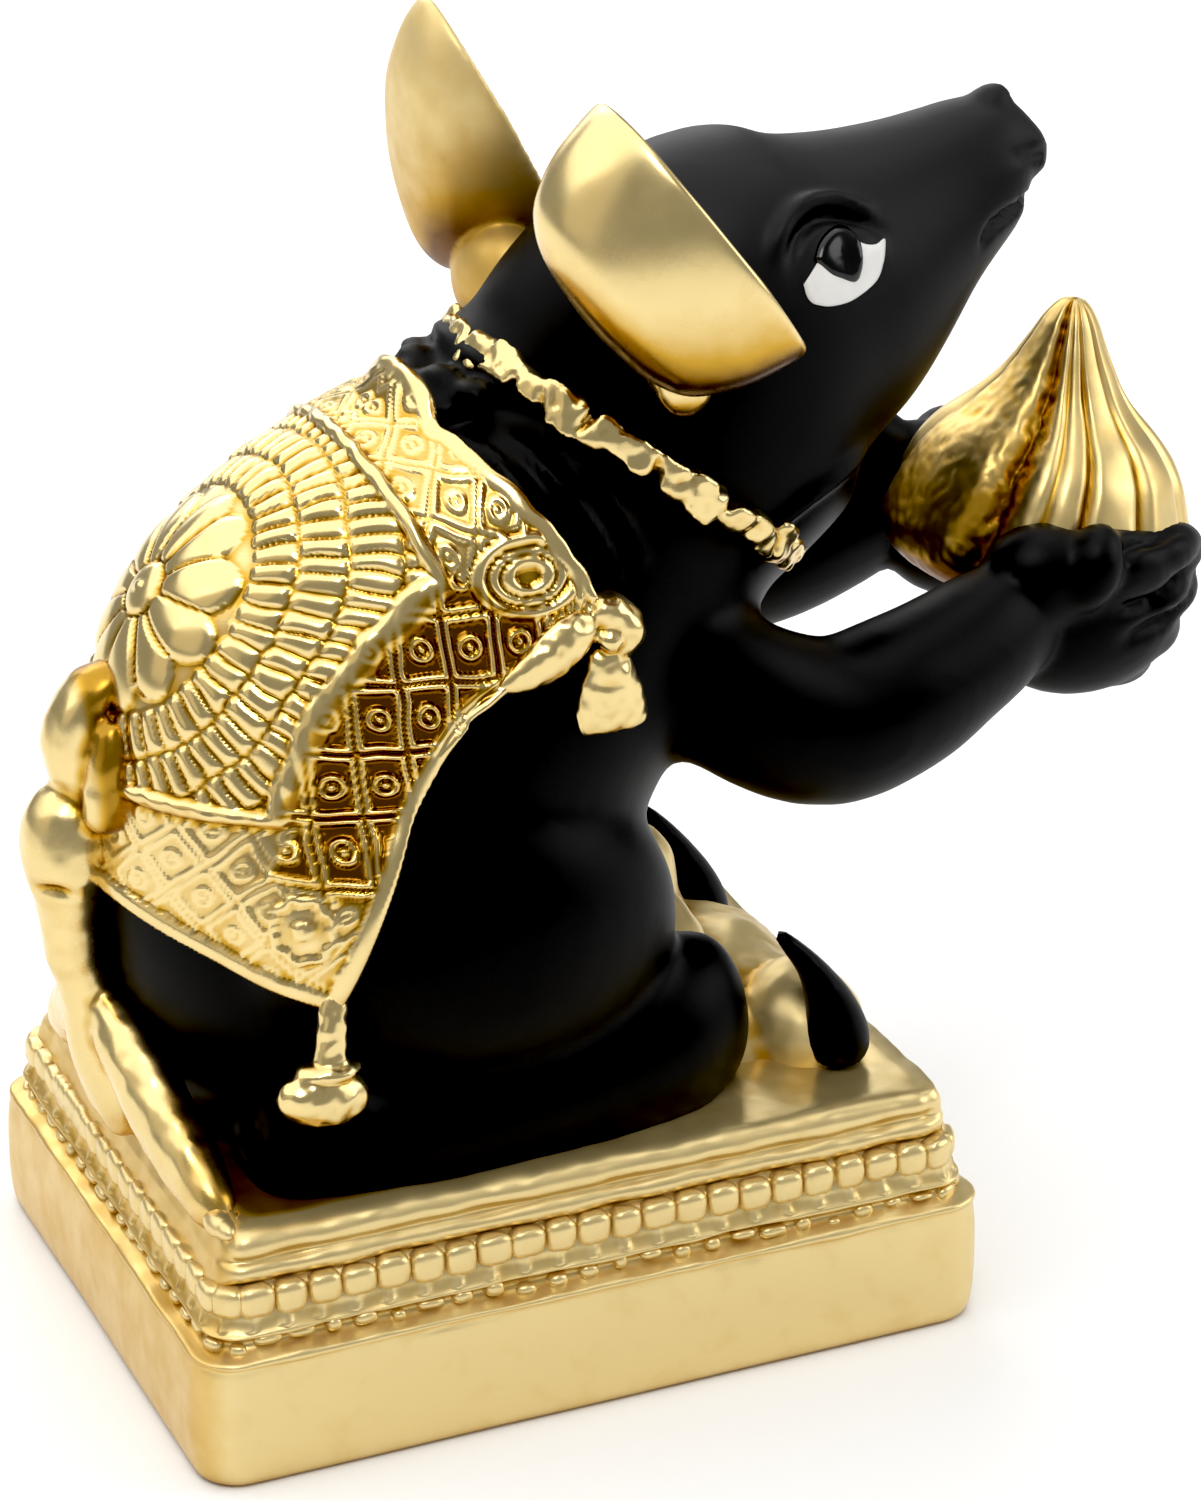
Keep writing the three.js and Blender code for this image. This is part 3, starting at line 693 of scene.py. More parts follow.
def build_body():
    sizes = bpy.context.scene.figurine_sizes
    body = trunk()
    extras = nose() + [piece for side in SIDES for piece in hand(side)]
    for side in SIDES:
        paw = [(x, y + PAW_SHIFT, z, wide, high) for x, y, z, wide, high in mirrored(FRONT_PAW, side)]
        extras.append(limb("front_paw", paw, blunt=5))
    extras += [lump("paint", (x, side * y, z), (1.2, 1.5, 0.8)) for side in SIDES for x, y, z in NECK_PAINT]
    extras += [lump("paint", (-2.8, side * 1.5, 67.4), (3.0, 4.0, 1.6)) for side in SIDES]
    extras += [lump("eyeball", (23.4, side * 7.9, 74.6), (3.9, 2.0, 2.7), -22) for side in SIDES]
    body = joined("body", [body] + extras)
    one_skin(body, sizes.skin_grain, 3)
    carve_face(body)
    carve_hands(body)
    carve_neck(body)
    return body


def mark_painted_sheen(body):
    """Stores the painted sheen: lighter enamel most on top of the head and snout, a little on the arms, strongest on
    faces that look up.
    """
    points, normals = points_of(body), normals_of(body)
    head = soft_step(60, 72, points[:, 2]) * soft_step(6, 14, points[:, 0])
    arms = 0.3 * soft_step(12, 18, points[:, 0]) * soft_step(38, 42, points[:, 2])
    # faces that look up get the most painted sheen, as if lit from above
    upward = 0.1 + 0.9 * soft_step(-0.3, 0.95, normals[:, 2])
    attribute = body.data.attributes.new("painted_sheen", "FLOAT", "POINT")
    attribute.data.foreach_set("value", (np.maximum(head, arms) * upward).astype(np.float32))


class FIGURINE_OT_body(bpy.types.Operator):
    """Models the black body with its head, arms, hands and feet"""

    bl_idname = "figurine.body"
    bl_label = "Body"

    def execute(self, context):
        body = build_body()
        roughen(body, 7.0, 0.12)
        mark_painted_sheen(body)
        finish(body, "black_body", black_finish())
        return {"FINISHED"}


# Ears

def ear_shape(side):
    """A thin cup with a rounded rim, its opening turned forward and up."""
    opening, high, low, depth, sag = RIGHT_EAR if side < 0 else LEFT_EAR
    opening, high, low = unit(opening), np.array(high, float), np.array(low, float)
    middle, half = (high + low) / 2, np.linalg.norm(high - low) / 2
    long = (high - low) / (2 * half)
    across = np.cross(long, opening)
    ring_count = 64
    profile = flow([(r, 0, d) for r, d in EAR_BOWL], np.linspace(0, 1, ring_count + 1))
    start()
    bpy.ops.mesh.primitive_uv_sphere_add(segments=96, ring_count=ring_count, radius=1.0)
    piece = bpy.context.object
    ball = points_of(piece)
    row = np.rint((1 - np.arccos(np.clip(-ball[:, 2], -1, 1)) / math.pi) * ring_count).astype(int)
    row = ring_count - row
    ring = np.maximum(np.hypot(ball[:, 0], ball[:, 1]), 1e-9)
    radius, height = profile[row, 0], profile[row, 2]
    along = ball[:, 0] / ring * radius
    move_points(piece, middle
                + (along * half)[:, None] * long
                + (ball[:, 1] / ring * radius * EAR_HALF_WIDTH)[:, None] * across
                + (height * depth * (1 - sag * along))[:, None] * opening)
    recalculate(piece)
    return piece


def recalculate(piece):
    """Turns every face of a closed piece outward."""
    make_active(piece)
    bpy.ops.object.mode_set(mode="EDIT")
    bpy.ops.mesh.select_all(action="SELECT")
    bpy.ops.mesh.remove_doubles(threshold=1e-5)
    bpy.ops.mesh.normals_make_consistent(inside=False)
    bpy.ops.object.mode_set(mode="OBJECT")


def ear_root(side):
    """The flange that joins the back of an ear to the head, and its drop-shaped lower end."""
    if side < 0:
        return [
            lump("ear_flange", (7.2, -11.4, 74.0), (2.2, 4.2, 5.0), -35),
            limb("ear_drop", mirrored(EAR_DROP, side)),
        ]
    return [
        lump("ear_flange", (7.0, 12.4, 70.4), (3.0, 4.8, 4.2)),
        limb("ear_drop", mirrored(LEFT_EAR_DROP, side)),
    ]


class FIGURINE_OT_ears(bpy.types.Operator):
    """Models the two gilded cup-shaped ears"""

    bl_idname = "figurine.ears"
    bl_label = "Ears"

    def execute(self, context):
        polished = gold_finish("ear_plating", 0.2, 0.3, 0.00002)
        dulled = gold_finish("far_ear_plating", 0.4, 0.52, 0.00002, metal=0.6)
        for side, name in ((-1, "ear_right"), (1, "ear_left")):
            root = joined("root", ear_root(side))
            one_skin(root, 0.35, 4)
            piece = joined(name, [ear_shape(side), root])
            if side > 0:
                one_skin(piece, 0.25, 16)
                # painted shade: the far ear's plating is a little darker all over, and darker still toward its root by
                # the head
                points = points_of(piece)
                root = soft_step(77, 73, points[:, 2]) * soft_step(18, 15, points[:, 1])
                paint_stain_and_shade(piece, 0.12 + 0.3 * root)
            roughen(piece, 5.0, 0.1, side)
            # painted reflection: the ears' undersides are strongly darkened, for the dark head and body below
            mark_painted_shade(piece, 6, 0.25, 1.0)
            finish(piece, name, polished if side < 0 else dulled)
        return {"FINISHED"}


# Eyes

EYE_MIDDLE = (23.4, 9.4, 74.9)
EYE_OUT = (0.2005, 0.932, 0.301)
EYE_FORWARD = (0.906, -0.293, 0.305)
# outlines in the eye's own plane: forward along the head and up across it
EYE_WHITE = [
    (-3.76, 1.12), (-3.94, 0.37), (-3.83, -0.22), (-3.31, -0.74), (-2.56, -1.2), (-1.13, -1.65), (0.54, -1.72),
    (1.85, -1.5), (2.7, -0.83), (3.38, -0.1), (3.89, 0.45), (2.7, 0.62), (1.7, 1.3), (1.31, 2.62), (-0.22, 2.75),
    (-1.68, 1.98), (-2.56, 1.6),
]
EYE_PUPIL = [
    (-2.1, 2.1), (-1.95, 1.4), (-1.6, 0.6), (-0.95, -0.1), (-0.3, -0.72), (0.25, -0.78), (0.8, -0.3), (1.25, 0.5),
    (1.7, 1.4), (1.85, 2.1), (1.5, 2.85), (0.3, 3.1), (-1.0, 2.85),
]


def laid_patch(name, surface, outline, side, lift):
    """A thin domed patch with a smooth outline, laid on the head round the eye."""
    out = unit(np.array(EYE_OUT) * (1, side, 1))
    forward = unit(np.array(EYE_FORWARD) * (1, side, 1))
    rise = np.cross(forward, out) * side
    middle = np.array(EYE_MIDDLE) * (1, side, 1)
    turns, rings = 64, 12
    loop = flow([(u, v, 0) for u, v in outline + outline[:1]], np.linspace(0, 1, turns + 1))[:-1, :2]
    centre = loop.mean(axis=0)
    mesh = bpy.data.meshes.new(name)
    rows = []
    for step in range(rings + 1):
        share = step / rings
        for u, v in centre + (loop - centre) * share:
            start_point = middle + forward * u + rise * v + out * 8
            hit = surface.ray_cast(Vector(start_point), Vector(-out))[0]
            rows.append(np.array(hit) + out * (0.08 + lift * (1 - share ** 8)))
    faces = [
        (ring * turns + turn, ring * turns + (turn + 1) % turns,
         (ring + 1) * turns + (turn + 1) % turns, (ring + 1) * turns + turn)
        for ring in range(rings) for turn in range(turns)
    ]
    under = len(rows)
    rows += [row - out * (lift + 0.3) for row in rows[rings * turns:]]
    faces += [
        (rings * turns + turn, rings * turns + (turn + 1) % turns,
         under + (turn + 1) % turns, under + turn)
        for turn in range(turns)
    ]
    faces.append(tuple(under + turn for turn in range(turns)))
    mesh.from_pydata([tuple(row) for row in rows], [], faces)
    piece = bpy.data.objects.new(name, mesh)
    bpy.context.scene.collection.objects.link(piece)
    recalculate(piece)
    return piece


class FIGURINE_OT_eyes(bpy.types.Operator):
    """Lays the white and the pupil of each eye on the head"""

    bl_idname = "figurine.eyes"
    bl_label = "Eyes"

    def execute(self, context):
        colours = context.scene.figurine_colours
        head = bpy.data.objects["black_body"].copy()
        head.data = head.data.copy()
        head.data.transform(Matrix.Scale(1 / MM, 4))
        surface = surface_of(head)
        bpy.data.objects.remove(head)
        white = eye_finish("eye_white", colours.white, 0.35)
        pupil = eye_finish("eye_pupil", colours.black, 0.15)
        for side, name in ((-1, "right"), (1, "left")):
            finish(laid_patch("eye", surface, EYE_WHITE, side, 0.1), f"eye_{name}", white)
            finish(laid_patch("pupil", surface, EYE_PUPIL, side, 0.34), f"pupil_{name}", pupil)
        return {"FINISHED"}


# Sweet

# its folds, from the right side round: angle of each groove, half its width in degrees, and its depth
SWEET_GROOVES = [
    (-136, 8, 1.6), (-117, 3, 0.45), (-101, 2.5, 0.75), (-73, 3.5, 0.85), (-40, 5, 0.9),
    (-10, 5, 0.9), (22, 6, 1.0), (56, 5, 0.9), (90, 6, 1.0), (122, 5, 0.9), (152, 6, 1.0),
]
# the turn of its deep valley, and the turns between which its face is rough and dark
VALLEY_TURN = -136
ROUGH_TURNS = (-212, -124)


def sweet_shape():
    """A pointed sweet with uneven folds that run up to its tip, rough and dark on one side."""
    sizes = bpy.context.scene.figurine_sizes
    rings = 120
    start()
    bpy.ops.mesh.primitive_uv_sphere_add(segments=300, ring_count=rings, radius=1.0)
    piece = bpy.context.object
    ball = points_of(piece)
    share = np.arccos(np.clip(-ball[:, 2], -1, 1)) / math.pi
    profile = flow([(r, 0, z) for r, z in SWEET_OUTLINE], share)
    ring = np.maximum(np.hypot(ball[:, 0], ball[:, 1]), 1e-9)
    angle = np.degrees(np.arctan2(ball[:, 1], ball[:, 0])) + 5 * np.sin(7 * share)
    cut = np.zeros(len(ball))
    for middle, half, depth in SWEET_GROOVES:
        gap = np.mod(angle - middle + 180, 360) - 180
        cut += depth * np.exp(-(gap / half) ** 2)
    shallow = np.clip(profile[:, 0] / 9.0, 0, 1) ** 0.6 * soft_step(0.06, 0.3, share)
    radius = profile[:, 0] + 0.4 * shallow - cut * sizes.fold_depth * shallow
    radius = np.clip(radius, 0.25 * profile[:, 0], None)
    shape = np.stack([ball[:, 0] / ring * radius, ball[:, 1] / ring * radius, profile[:, 2]], axis=1)
    turned = np.mod(angle - ROUGH_TURNS[0], 360)
    span = ROUGH_TURNS[1] - ROUGH_TURNS[0]
    rough = soft_step(0, 12, turned) * soft_step(span, span - 8, turned)
    valley = np.exp(-((np.mod(angle - VALLEY_TURN + 180, 360) - 180) / 9) ** 2)
    grain = wander(shape, 0.7, 2.0) * (0.1 * rough + 0.2 * valley)
    axis = unit(np.array(SWEET_TIP, float) - np.array(SWEET_FOOT))
    turn = np.array(Vector(UP).rotation_difference(Vector(axis)).to_matrix())
    move_points(piece, shape @ turn.T + np.array(SWEET_FOOT))
    move_points(piece, points_of(piece) + normals_of(piece) * (grain * shallow)[:, None])
    # painted shade in the deep valley; the rough face is darker, most towards the foot and in patches
    low = soft_step(13, 6, profile[:, 2])
    mottle = 0.5 + 0.5 * wander(shape, 2.4, 6.0)
    paint_stain_and_shade(piece, np.clip(np.maximum(0.7 * valley, 0.1 + rough * (0.15 + 0.7 * low * mottle)), 0, 1))
    return piece


class FIGURINE_OT_sweet(bpy.types.Operator):
    """Models the pleated sweet held in the hands"""

    bl_idname = "figurine.sweet"
    bl_label = "Sweet"

    def execute(self, context):
        piece = sweet_shape()
        roughen(piece, 2.5, 0.1)
        mark_painted_shade(piece, 10, 0.25, 0.8)
        finish(piece, "sweet", gold_finish("sweet_plating", 0.32, 0.44, 0.00005))
        return {"FINISHED"}


# Necklace

def necklace_block(index, count):
    """One lumpy block of the necklace, each a little different."""
    angle = 2 * math.pi * (index + 0.3 * math.sin(index * 2.1)) / count
    front, axis = np.array(NECKLACE_FRONT), np.array(NECKLACE_AXIS)
    place = (np.array(NECKLACE_MIDDLE) + front * (math.cos(angle) * NECKLACE_LONG)
             + LEFT * (math.sin(angle) * NECKLACE_WIDE))
    along = unit(-front * (math.sin(angle) * NECKLACE_LONG) + LEFT * (math.cos(angle) * NECKLACE_WIDE))
    out = np.cross(along, axis)
    start()
    bpy.ops.mesh.primitive_cube_add(size=1.0)
    piece = bpy.context.object
    wide = 1.0 + 0.22 * math.sin(index * 3.7)
    tall = 1.0 + 0.25 * math.sin(index * 1.3 + 1)
    halves = np.array([1.12 * wide, 1.0, 1.15 * tall])
    lean = 0.45 * math.sin(index * 5.1)
    points = points_of(piece) * 2
    points[:, 0] += lean * points[:, 2]
    points[:, 2] += 0.3 * math.sin(index * 2.3) * points[:, 1]
    local = points * halves
    move_points(piece, place + local[:, :1] * along + local[:, 1:2] * out + local[:, 2:] * axis)
    apply_modifier(piece, "BEVEL", width=0.38, segments=2, limit_method="NONE")
    return piece


class FIGURINE_OT_necklace(bpy.types.Operator):
    """Models the necklace of lumpy gold blocks"""

    bl_idname = "figurine.necklace"
    bl_label = "Necklace"

    def execute(self, context):
        count = context.scene.figurine_sizes.necklace_blocks
        piece = joined("necklace", [necklace_block(index, count) for index in range(count)])
        one_skin(piece, 0.24, 2)
        roughen(piece, 1.0, 0.22)
        mark_painted_shade(piece, 8, 0.25)
        finish(piece, "necklace", gold_finish("necklace_plating", 0.16, 0.28, 0.00003))
        return {"FINISHED"}


# Saddle cloth

def bent(a, b, c, steps=16):
    """Points on a curve from a to c that leans towards b."""
    a, b, c = (np.array(point, float) for point in (a, b, c))
    share = np.linspace(0, 1, steps)[:, None]
    return list((1 - share) ** 2 * a + 2 * share * (1 - share) * b + share ** 2 * c)


def cloth_outline():
    """The cloth's closed outline seen from the side."""
    line = [CLOTH_FRONT[0]] + bent(*CLOTH_FRONT[1:])
    line += bent(*CLOTH_BELLY) + bent(*CLOTH_REAR[:3]) + [CLOTH_REAR[3]]
    return np.array(line, float)


def outline_distance(x, z, line):
    """Distance from the outline at each place, negative inside it, and the way that it grows."""
    place = np.stack([x.ravel(), z.ravel()], axis=1)
    best = np.full(len(place), 1e9)
    away = np.zeros_like(place)
    inside = np.zeros(len(place), bool)
    for a, b in zip(line, np.roll(line, -1, axis=0)):
        run = b - a
        part = np.clip((place - a) @ run / (run @ run), 0, 1)
        off = place - a - part[:, None] * run
        gap = np.hypot(off[:, 0], off[:, 1])
        closer = gap < best
        best[closer] = gap[closer]
        away[closer] = off[closer]
        crosses = (a[1] > place[:, 1]) != (b[1] > place[:, 1])
        rise = run[1] if abs(run[1]) > 1e-9 else 1e-9
        inside ^= crosses & (place[:, 0] < a[0] + run[0] * (place[:, 1] - a[1]) / rise)
    sign = np.where(inside, -1, 1)
    away = unit(away) * sign[:, None]
    return (best * sign).reshape(x.shape), away[:, 0].reshape(x.shape), away[:, 1].reshape(x.shape)


CLOTH_TURN = (62, 228)
CLOTH_TILT = 84
COARSE = 90

# Carving on the cloth: turns are degrees about the pole, lengths are millimetres
FLOWER_TURN = 151.0
FLOWER_EDGE = 8.3
PETALS = 11
PETAL_MIDDLE, PETAL_LONG, PETAL_WIDE = 5.0, 3.0, 1.75
BUTTON = 1.9
TILE_RING = 2.9
TILE_WIDTH = 1.45
FRAME_TURNS = (111, 180)
FRAME_SIDE = 13.1
LATTICE_STEP = (3.15, 4.2)
LATTICE_START = (-11.2, 48.4)
DIAMOND = (4.6, 5.4)
SHOULDER_MEDALLION = (-2.2, 14.7, 58.9)
HIP_MEDALLION = (-19.4, 17.1, 37.4)
HIP_RIDGE = [(-20.6, 14.4, 41.4), (-19.1, 16, 40.7), (-16.4, 18, 39.6)]
BAND_STEP = 0.4


def cloth_rays(surface, turns, tilts):
    """How far the body's surface is from the pole in each direction, softened."""
    reach = np.zeros((len(turns), len(tilts)))
    pole = Vector(CLOTH_POLE)
    for i, turn in enumerate(turns):
        for j, tilt in enumerate(tilts):
            ray = Vector((math.cos(tilt) * math.cos(turn), math.sin(tilt), math.cos(tilt) * math.sin(turn)))
            hit = surface.ray_cast(pole, ray)
            reach[i, j] = hit[3] if hit[0] is not None else 15.0
    for _ in range(3):
        inner = reach.copy()
        inner[1:-1] = (reach[:-2] + 2 * reach[1:-1] + reach[2:]) / 4
        reach = inner.copy()
        inner[:, 1:-1] = (reach[:, :-2] + 2 * reach[:, 1:-1] + reach[:, 2:]) / 4
        reach = inner
    return reach


def cloth_base(surface, grain):
    """A fine grid on the body, with its normals, turn angles and lengths across."""
    span = math.radians(CLOTH_TURN[1] - CLOTH_TURN[0])
    rows = int(span * 25 / grain)
    columns = int(2 * math.radians(CLOTH_TILT) * 19 / grain) | 1
    turns = np.radians(np.linspace(*CLOTH_TURN, COARSE))
    tilts = np.radians(np.linspace(-CLOTH_TILT, CLOTH_TILT, COARSE | 1))
    reach = cloth_rays(surface, turns, tilts)
    reach = flow(reach, np.linspace(0, 1, rows))
    reach = flow(reach.T, np.linspace(0, 1, columns)).T
    turn = np.radians(np.linspace(*CLOTH_TURN, rows))[:, None]
    tilt = np.radians(np.linspace(-CLOTH_TILT, CLOTH_TILT, columns))[None, :]
    x = CLOTH_POLE[0] + reach * np.cos(tilt) * np.cos(turn)
    y = CLOTH_POLE[1] + reach * np.sin(tilt) * np.ones_like(turn)
    z = CLOTH_POLE[2] + reach * np.cos(tilt) * np.sin(turn)
    points = np.stack([x, y, z], axis=2)
    down, over = np.gradient(points, axis=0), np.gradient(points, axis=1)
    normals = unit(np.cross(over, down))
    outward = points - np.array(CLOTH_POLE)
    normals *= np.sign(np.einsum("ijk,ijk->ij", normals, outward))[:, :, None]
    length = np.linalg.norm(over, axis=2)
    across = np.cumsum(length, axis=1)
    across -= across[:, columns // 2][:, None]
    return points, normals, np.degrees(turn) * np.ones_like(tilt), across


def scatter(first, second=0.0):
    """A fixed number from 0 to 1 for each pair of numbers, spread as if by chance."""
    value = np.sin(first * 12.9898 + second * 78.233) * 43758.5453
    return value - np.floor(value)


def ridge(distance, radius):
    """A soft-edged ridge, 1 at no distance and 0 from the radius on, for thin lines."""
    return np.clip(1 - (distance / radius) ** 2, 0, 1)


def flower_relief(along, across):
    """A button with a dot, in the middle of overlapping long petals with sharp gaps between them."""
    gap = np.hypot(along, across)
    height = np.zeros_like(gap)
    second = np.zeros_like(gap)
    for petal in range(PETALS):
        turn = 2 * math.pi * (petal + 0.2 * scatter(petal)) / PETALS
        out = along * math.cos(turn) + across * math.sin(turn)
        beside = across * math.cos(turn) - along * math.sin(turn)
        long, wide = PETAL_LONG * (1 + 0.08 * scatter(petal, 3)), PETAL_WIDE * (1 + 0.2 * scatter(petal, 5))
        off = np.hypot((out - PETAL_MIDDLE) / long, beside / wide)
        lobe = (0.8 + 0.25 * scatter(petal, 7)) * bump(off, 1.0) ** 0.8
        second = np.maximum(second, np.minimum(height, lobe))
        height = np.maximum(height, lobe)
    height -= 0.45 * np.exp(-((height - second) / 0.13) ** 2) * (height > 0)
    button = 1.05 * bump(gap, BUTTON) ** 0.7 + 0.3 * bump(gap, 0.4)
    return np.where(gap < BUTTON + 0.15, button, height)


def tile_relief(along, across):
    """Rings of pillow-shaped tiles round the flower, each tile a little different."""
    gap, angle = np.hypot(along, across), np.arctan2(across, along)
    ring = np.floor((gap - FLOWER_EDGE) / TILE_RING)
    over = np.mod(gap - FLOWER_EDGE, TILE_RING) / TILE_RING - 0.5
    middle = FLOWER_EDGE + (ring + 0.5) * TILE_RING
    count = np.maximum(np.rint(2 * math.pi * middle / TILE_WIDTH), 1)
    place = angle / (2 * math.pi) * count + 0.5 * np.mod(ring, 2)
    tile = np.floor(place)
    beside = place - tile - 0.5
    own = 0.6 + 0.4 * scatter(ring, tile)
    tilt = 1 + 0.5 * (scatter(ring, tile + 5) - 0.5) * 2 * beside
    pillow = np.clip(1 - np.abs(2.1 * over) ** 5, 0, 1) * np.clip(1 - np.abs(2.2 * beside) ** 2.6, 0, 1)
    return own * tilt * pillow ** 0.6


def lattice_relief(u, v, step_u, step_v):
    """Crossing double lines with a ringed dot in each opening."""
    u = (np.mod(u / step_u, 1) - 0.5) * step_u
    v = (np.mod(v / step_v, 1) - 0.5) * step_v
    line = np.minimum(step_u / 2 - np.abs(u), step_v / 2 - np.abs(v))
    gap = np.hypot(u, v)
    dot = np.maximum(bump(gap, 0.28), 0.9 * ridge(gap - 0.64, 0.26))
    return np.maximum(ridge(line - 0.3, 0.26), dot)


def diamond_relief(along, across):
    """The lattice turned on its corner, as on the neck band and over the hips."""
    side = math.hypot(*DIAMOND) / 2
    return lattice_relief((along / DIAMOND[0] + across / DIAMOND[1]) * side,
                          (along / DIAMOND[0] - across / DIAMOND[1]) * side, side, side)


def medallion_gap(points, middle, long=1.0):
    """Distance from a medallion's middle on either side, its long way shortened."""
    off = np.abs(points[:, :, 1]) - middle[1], points[:, :, 2] - middle[2]
    return np.sqrt(((points[:, :, 0] - middle[0]) / long) ** 2 + off[0] ** 2 + off[1] ** 2)


def cloth_relief(points, turn, across, edge):
    """The carving's height, and the painted shade on the ground between the carving, at each place of the cloth."""
    x, z = points[:, :, 0], points[:, :, 2]
    wide = np.abs(points[:, :, 1])
    stray = wander(points.reshape(-1, 3), 2.2, 4.0).reshape(x.shape)
    radius = np.hypot(x - CLOTH_POLE[0], z - CLOTH_POLE[2])
    along = np.radians(FLOWER_TURN - turn) * radius
    before = np.radians(FRAME_TURNS[0] - turn) * radius
    behind = np.radians(turn - FRAME_TURNS[1]) * radius
    frame_gap = np.maximum.reduce([wide - FRAME_SIDE, before, behind]) + 0.18 * stray
    bent_along, bent_across = along + 0.35 * stray, across + 0.3 * np.roll(stray, 7, axis=0)

    flower = np.hypot(along, across) < FLOWER_EDGE
    field = np.where(flower, flower_relief(along, across), 0.8 * tile_relief(bent_along, bent_across))
    side = lattice_relief(x - LATTICE_START[0] + 0.25 * stray, z - LATTICE_START[1] + 0.2 * stray, *LATTICE_STEP)
    band = 0.42 * diamond_relief(before - 1.1 + 0.3 * stray, np.abs(across) - 6.2)
    hip = 0.22 * diamond_relief(behind - 5.8 + 0.3 * stray, np.abs(across) - 14.8)

    past_frame = soft_step(-0.5, 0.5, behind) * soft_step(-0.5, 0.5, FRAME_SIDE + 1.2 - wide)
    low = np.maximum(soft_step(-0.6, 0.6, 41.0 - 0.35 * (wide - FRAME_SIDE) - z + 0.3 * stray), past_frame)
    high = soft_step(-0.5, 0.5, z - 60.0 + 0.66 * (x + 8.2))
    border = side * (1 - low) * (1 - high) + hip * low + (band + BAND_STEP * soft_step(0, 1, before)) * high
    # painted reflection: the flat ground of the side lattice is darkened between its lines, as if it mirrored dark
    # surroundings
    stain_and_shade = (1 - low) * (1 - high) * soft_step(-0.2, 0.3, frame_gap) * (1 - 0.9 * np.clip(side, 0, 1))

    shoulder = medallion_gap(points, SHOULDER_MEDALLION, 1.45)
    ovals = np.maximum.reduce([bump(shoulder, 0.5), 0.8 * bump(shoulder - 1.15, 0.3),
                               0.7 * bump(shoulder - 1.75, 0.25), 1.1 * bump(shoulder - 2.5, 0.42)])
    border = np.where(shoulder < 2.95, ovals, border)
    hips = medallion_gap(points, HIP_MEDALLION)
    rim_wave = 0.12 * np.cos(10 * np.arctan2(z - HIP_MEDALLION[2], x - HIP_MEDALLION[0]))
    circle = np.maximum.reduce([0.45 * bump(hips - 2.2 + rim_wave, 0.3), 0.8 * bump(hips, 0.3), 0.5 * ridge(hips - 0.75, 0.26)])
    border = np.where(hips < 2.6, circle, border)
    mirrored_points = np.stack([x, wide, z], axis=2).reshape(-1, 3)
    ridge_gap = near_path(mirrored_points, HIP_RIDGE, 20)[0].reshape(x.shape)
    border = np.maximum(border, 0.9 * bump(ridge_gap, 0.45))

    height = np.where(frame_gap < 0, field, border)
    notch = 0.12 * np.sin(2.6 * (along - across)) + 0.15 * stray
    cord = (1.25 + notch) * bump(frame_gap, 0.55) ** 0.8
    twist = 0.3 * np.sin(3.4 * (x - z))
    rope = np.maximum((1.1 + twist) * bump(edge - 0.45, 0.45), (0.9 - twist) * bump(edge - 1.25, 0.35))
    plain = 0.75 * bump(edge - 0.75, 0.85)
    ropes = soft_step(-0.8, 0.8, z - 48.4) * soft_step(-0.8, 0.8, 57.0 - z)
    rim = np.where(edge < 1.7, rope * ropes + plain * (1 - ropes), 0)
    stain_and_shade *= soft_step(0.9, 1.5, edge)
    height = np.where(edge < 1.5, np.maximum(rim, 0.4 * height), np.maximum(height, cord))
    return height, stain_and_shade


def saddle_cloth(surface):
    sizes = bpy.context.scene.figurine_sizes
    points, normals, turn, across = cloth_base(surface, sizes.cloth_grain)
    line = cloth_outline()
    off, away_x, away_z = outline_distance(points[:, :, 0], points[:, :, 2], line)
    away = np.stack([away_x, np.zeros_like(off), away_z], axis=2)
    away -= normals * np.einsum("ijk,ijk->ij", away, normals)[:, :, None]
    slope = np.clip(np.linalg.norm(away, axis=2), 0.35, 1)
    edge = -off / slope
    edge += 0.3 * wander(points.reshape(-1, 3), 1.6, 9.0).reshape(edge.shape) * (points[:, :, 0] > -8)
    relief, stain_and_shade = cloth_relief(points, turn, across, edge)
    height = relief * sizes.relief
    raised = CLOTH_THICKNESS * soft_step(-0.05, 0.3, edge) + height * soft_step(0.0, 0.25, edge) - 0.15
    snapped = points - away * (off / slope ** 2)[:, :, None]
    near = (np.abs(edge) < 1.2 * sizes.cloth_grain)[:, :, None]
    shell = np.where(near & (off > -0.01)[:, :, None], snapped, points)
    placed = shell + normals * raised[:, :, None]
    return grid_piece("saddle_cloth", placed, off < 0.0, stain_and_shade)


def grid_piece(name, places, keep, stain_and_shade):
    """A mesh of the kept part of a grid, closed by faces that run from its edge to the cloth's pole."""
    rows, columns = keep.shape
    kept = (keep[:-1, :-1].astype(int) + keep[1:, :-1] + keep[:-1, 1:] + keep[1:, 1:]) >= 2
    index = np.arange(rows * columns).reshape(rows, columns)
    i, j = np.nonzero(kept)
    faces = np.stack([index[i, j], index[i, j + 1], index[i + 1, j + 1], index[i + 1, j]], axis=1)
    used, packed = np.unique(faces, return_inverse=True)
    faces = packed.reshape(faces.shape)
    pole = len(used)
    ways = np.concatenate([faces[:, [side, (side + 1) % 4]] for side in range(4)])
    known = set(map(tuple, ways.tolist()))
    rim = [(b, a, pole) for a, b in known if (b, a) not in known]
    mesh = bpy.data.meshes.new(name)
    mesh.from_pydata(places.reshape(-1, 3)[used].tolist() + [CLOTH_POLE], [], faces.tolist() + rim)
    piece = bpy.data.objects.new(name, mesh)
    bpy.context.scene.collection.objects.link(piece)
    paint_stain_and_shade(piece, np.append(stain_and_shade.reshape(-1)[used], 0.0))
    return piece


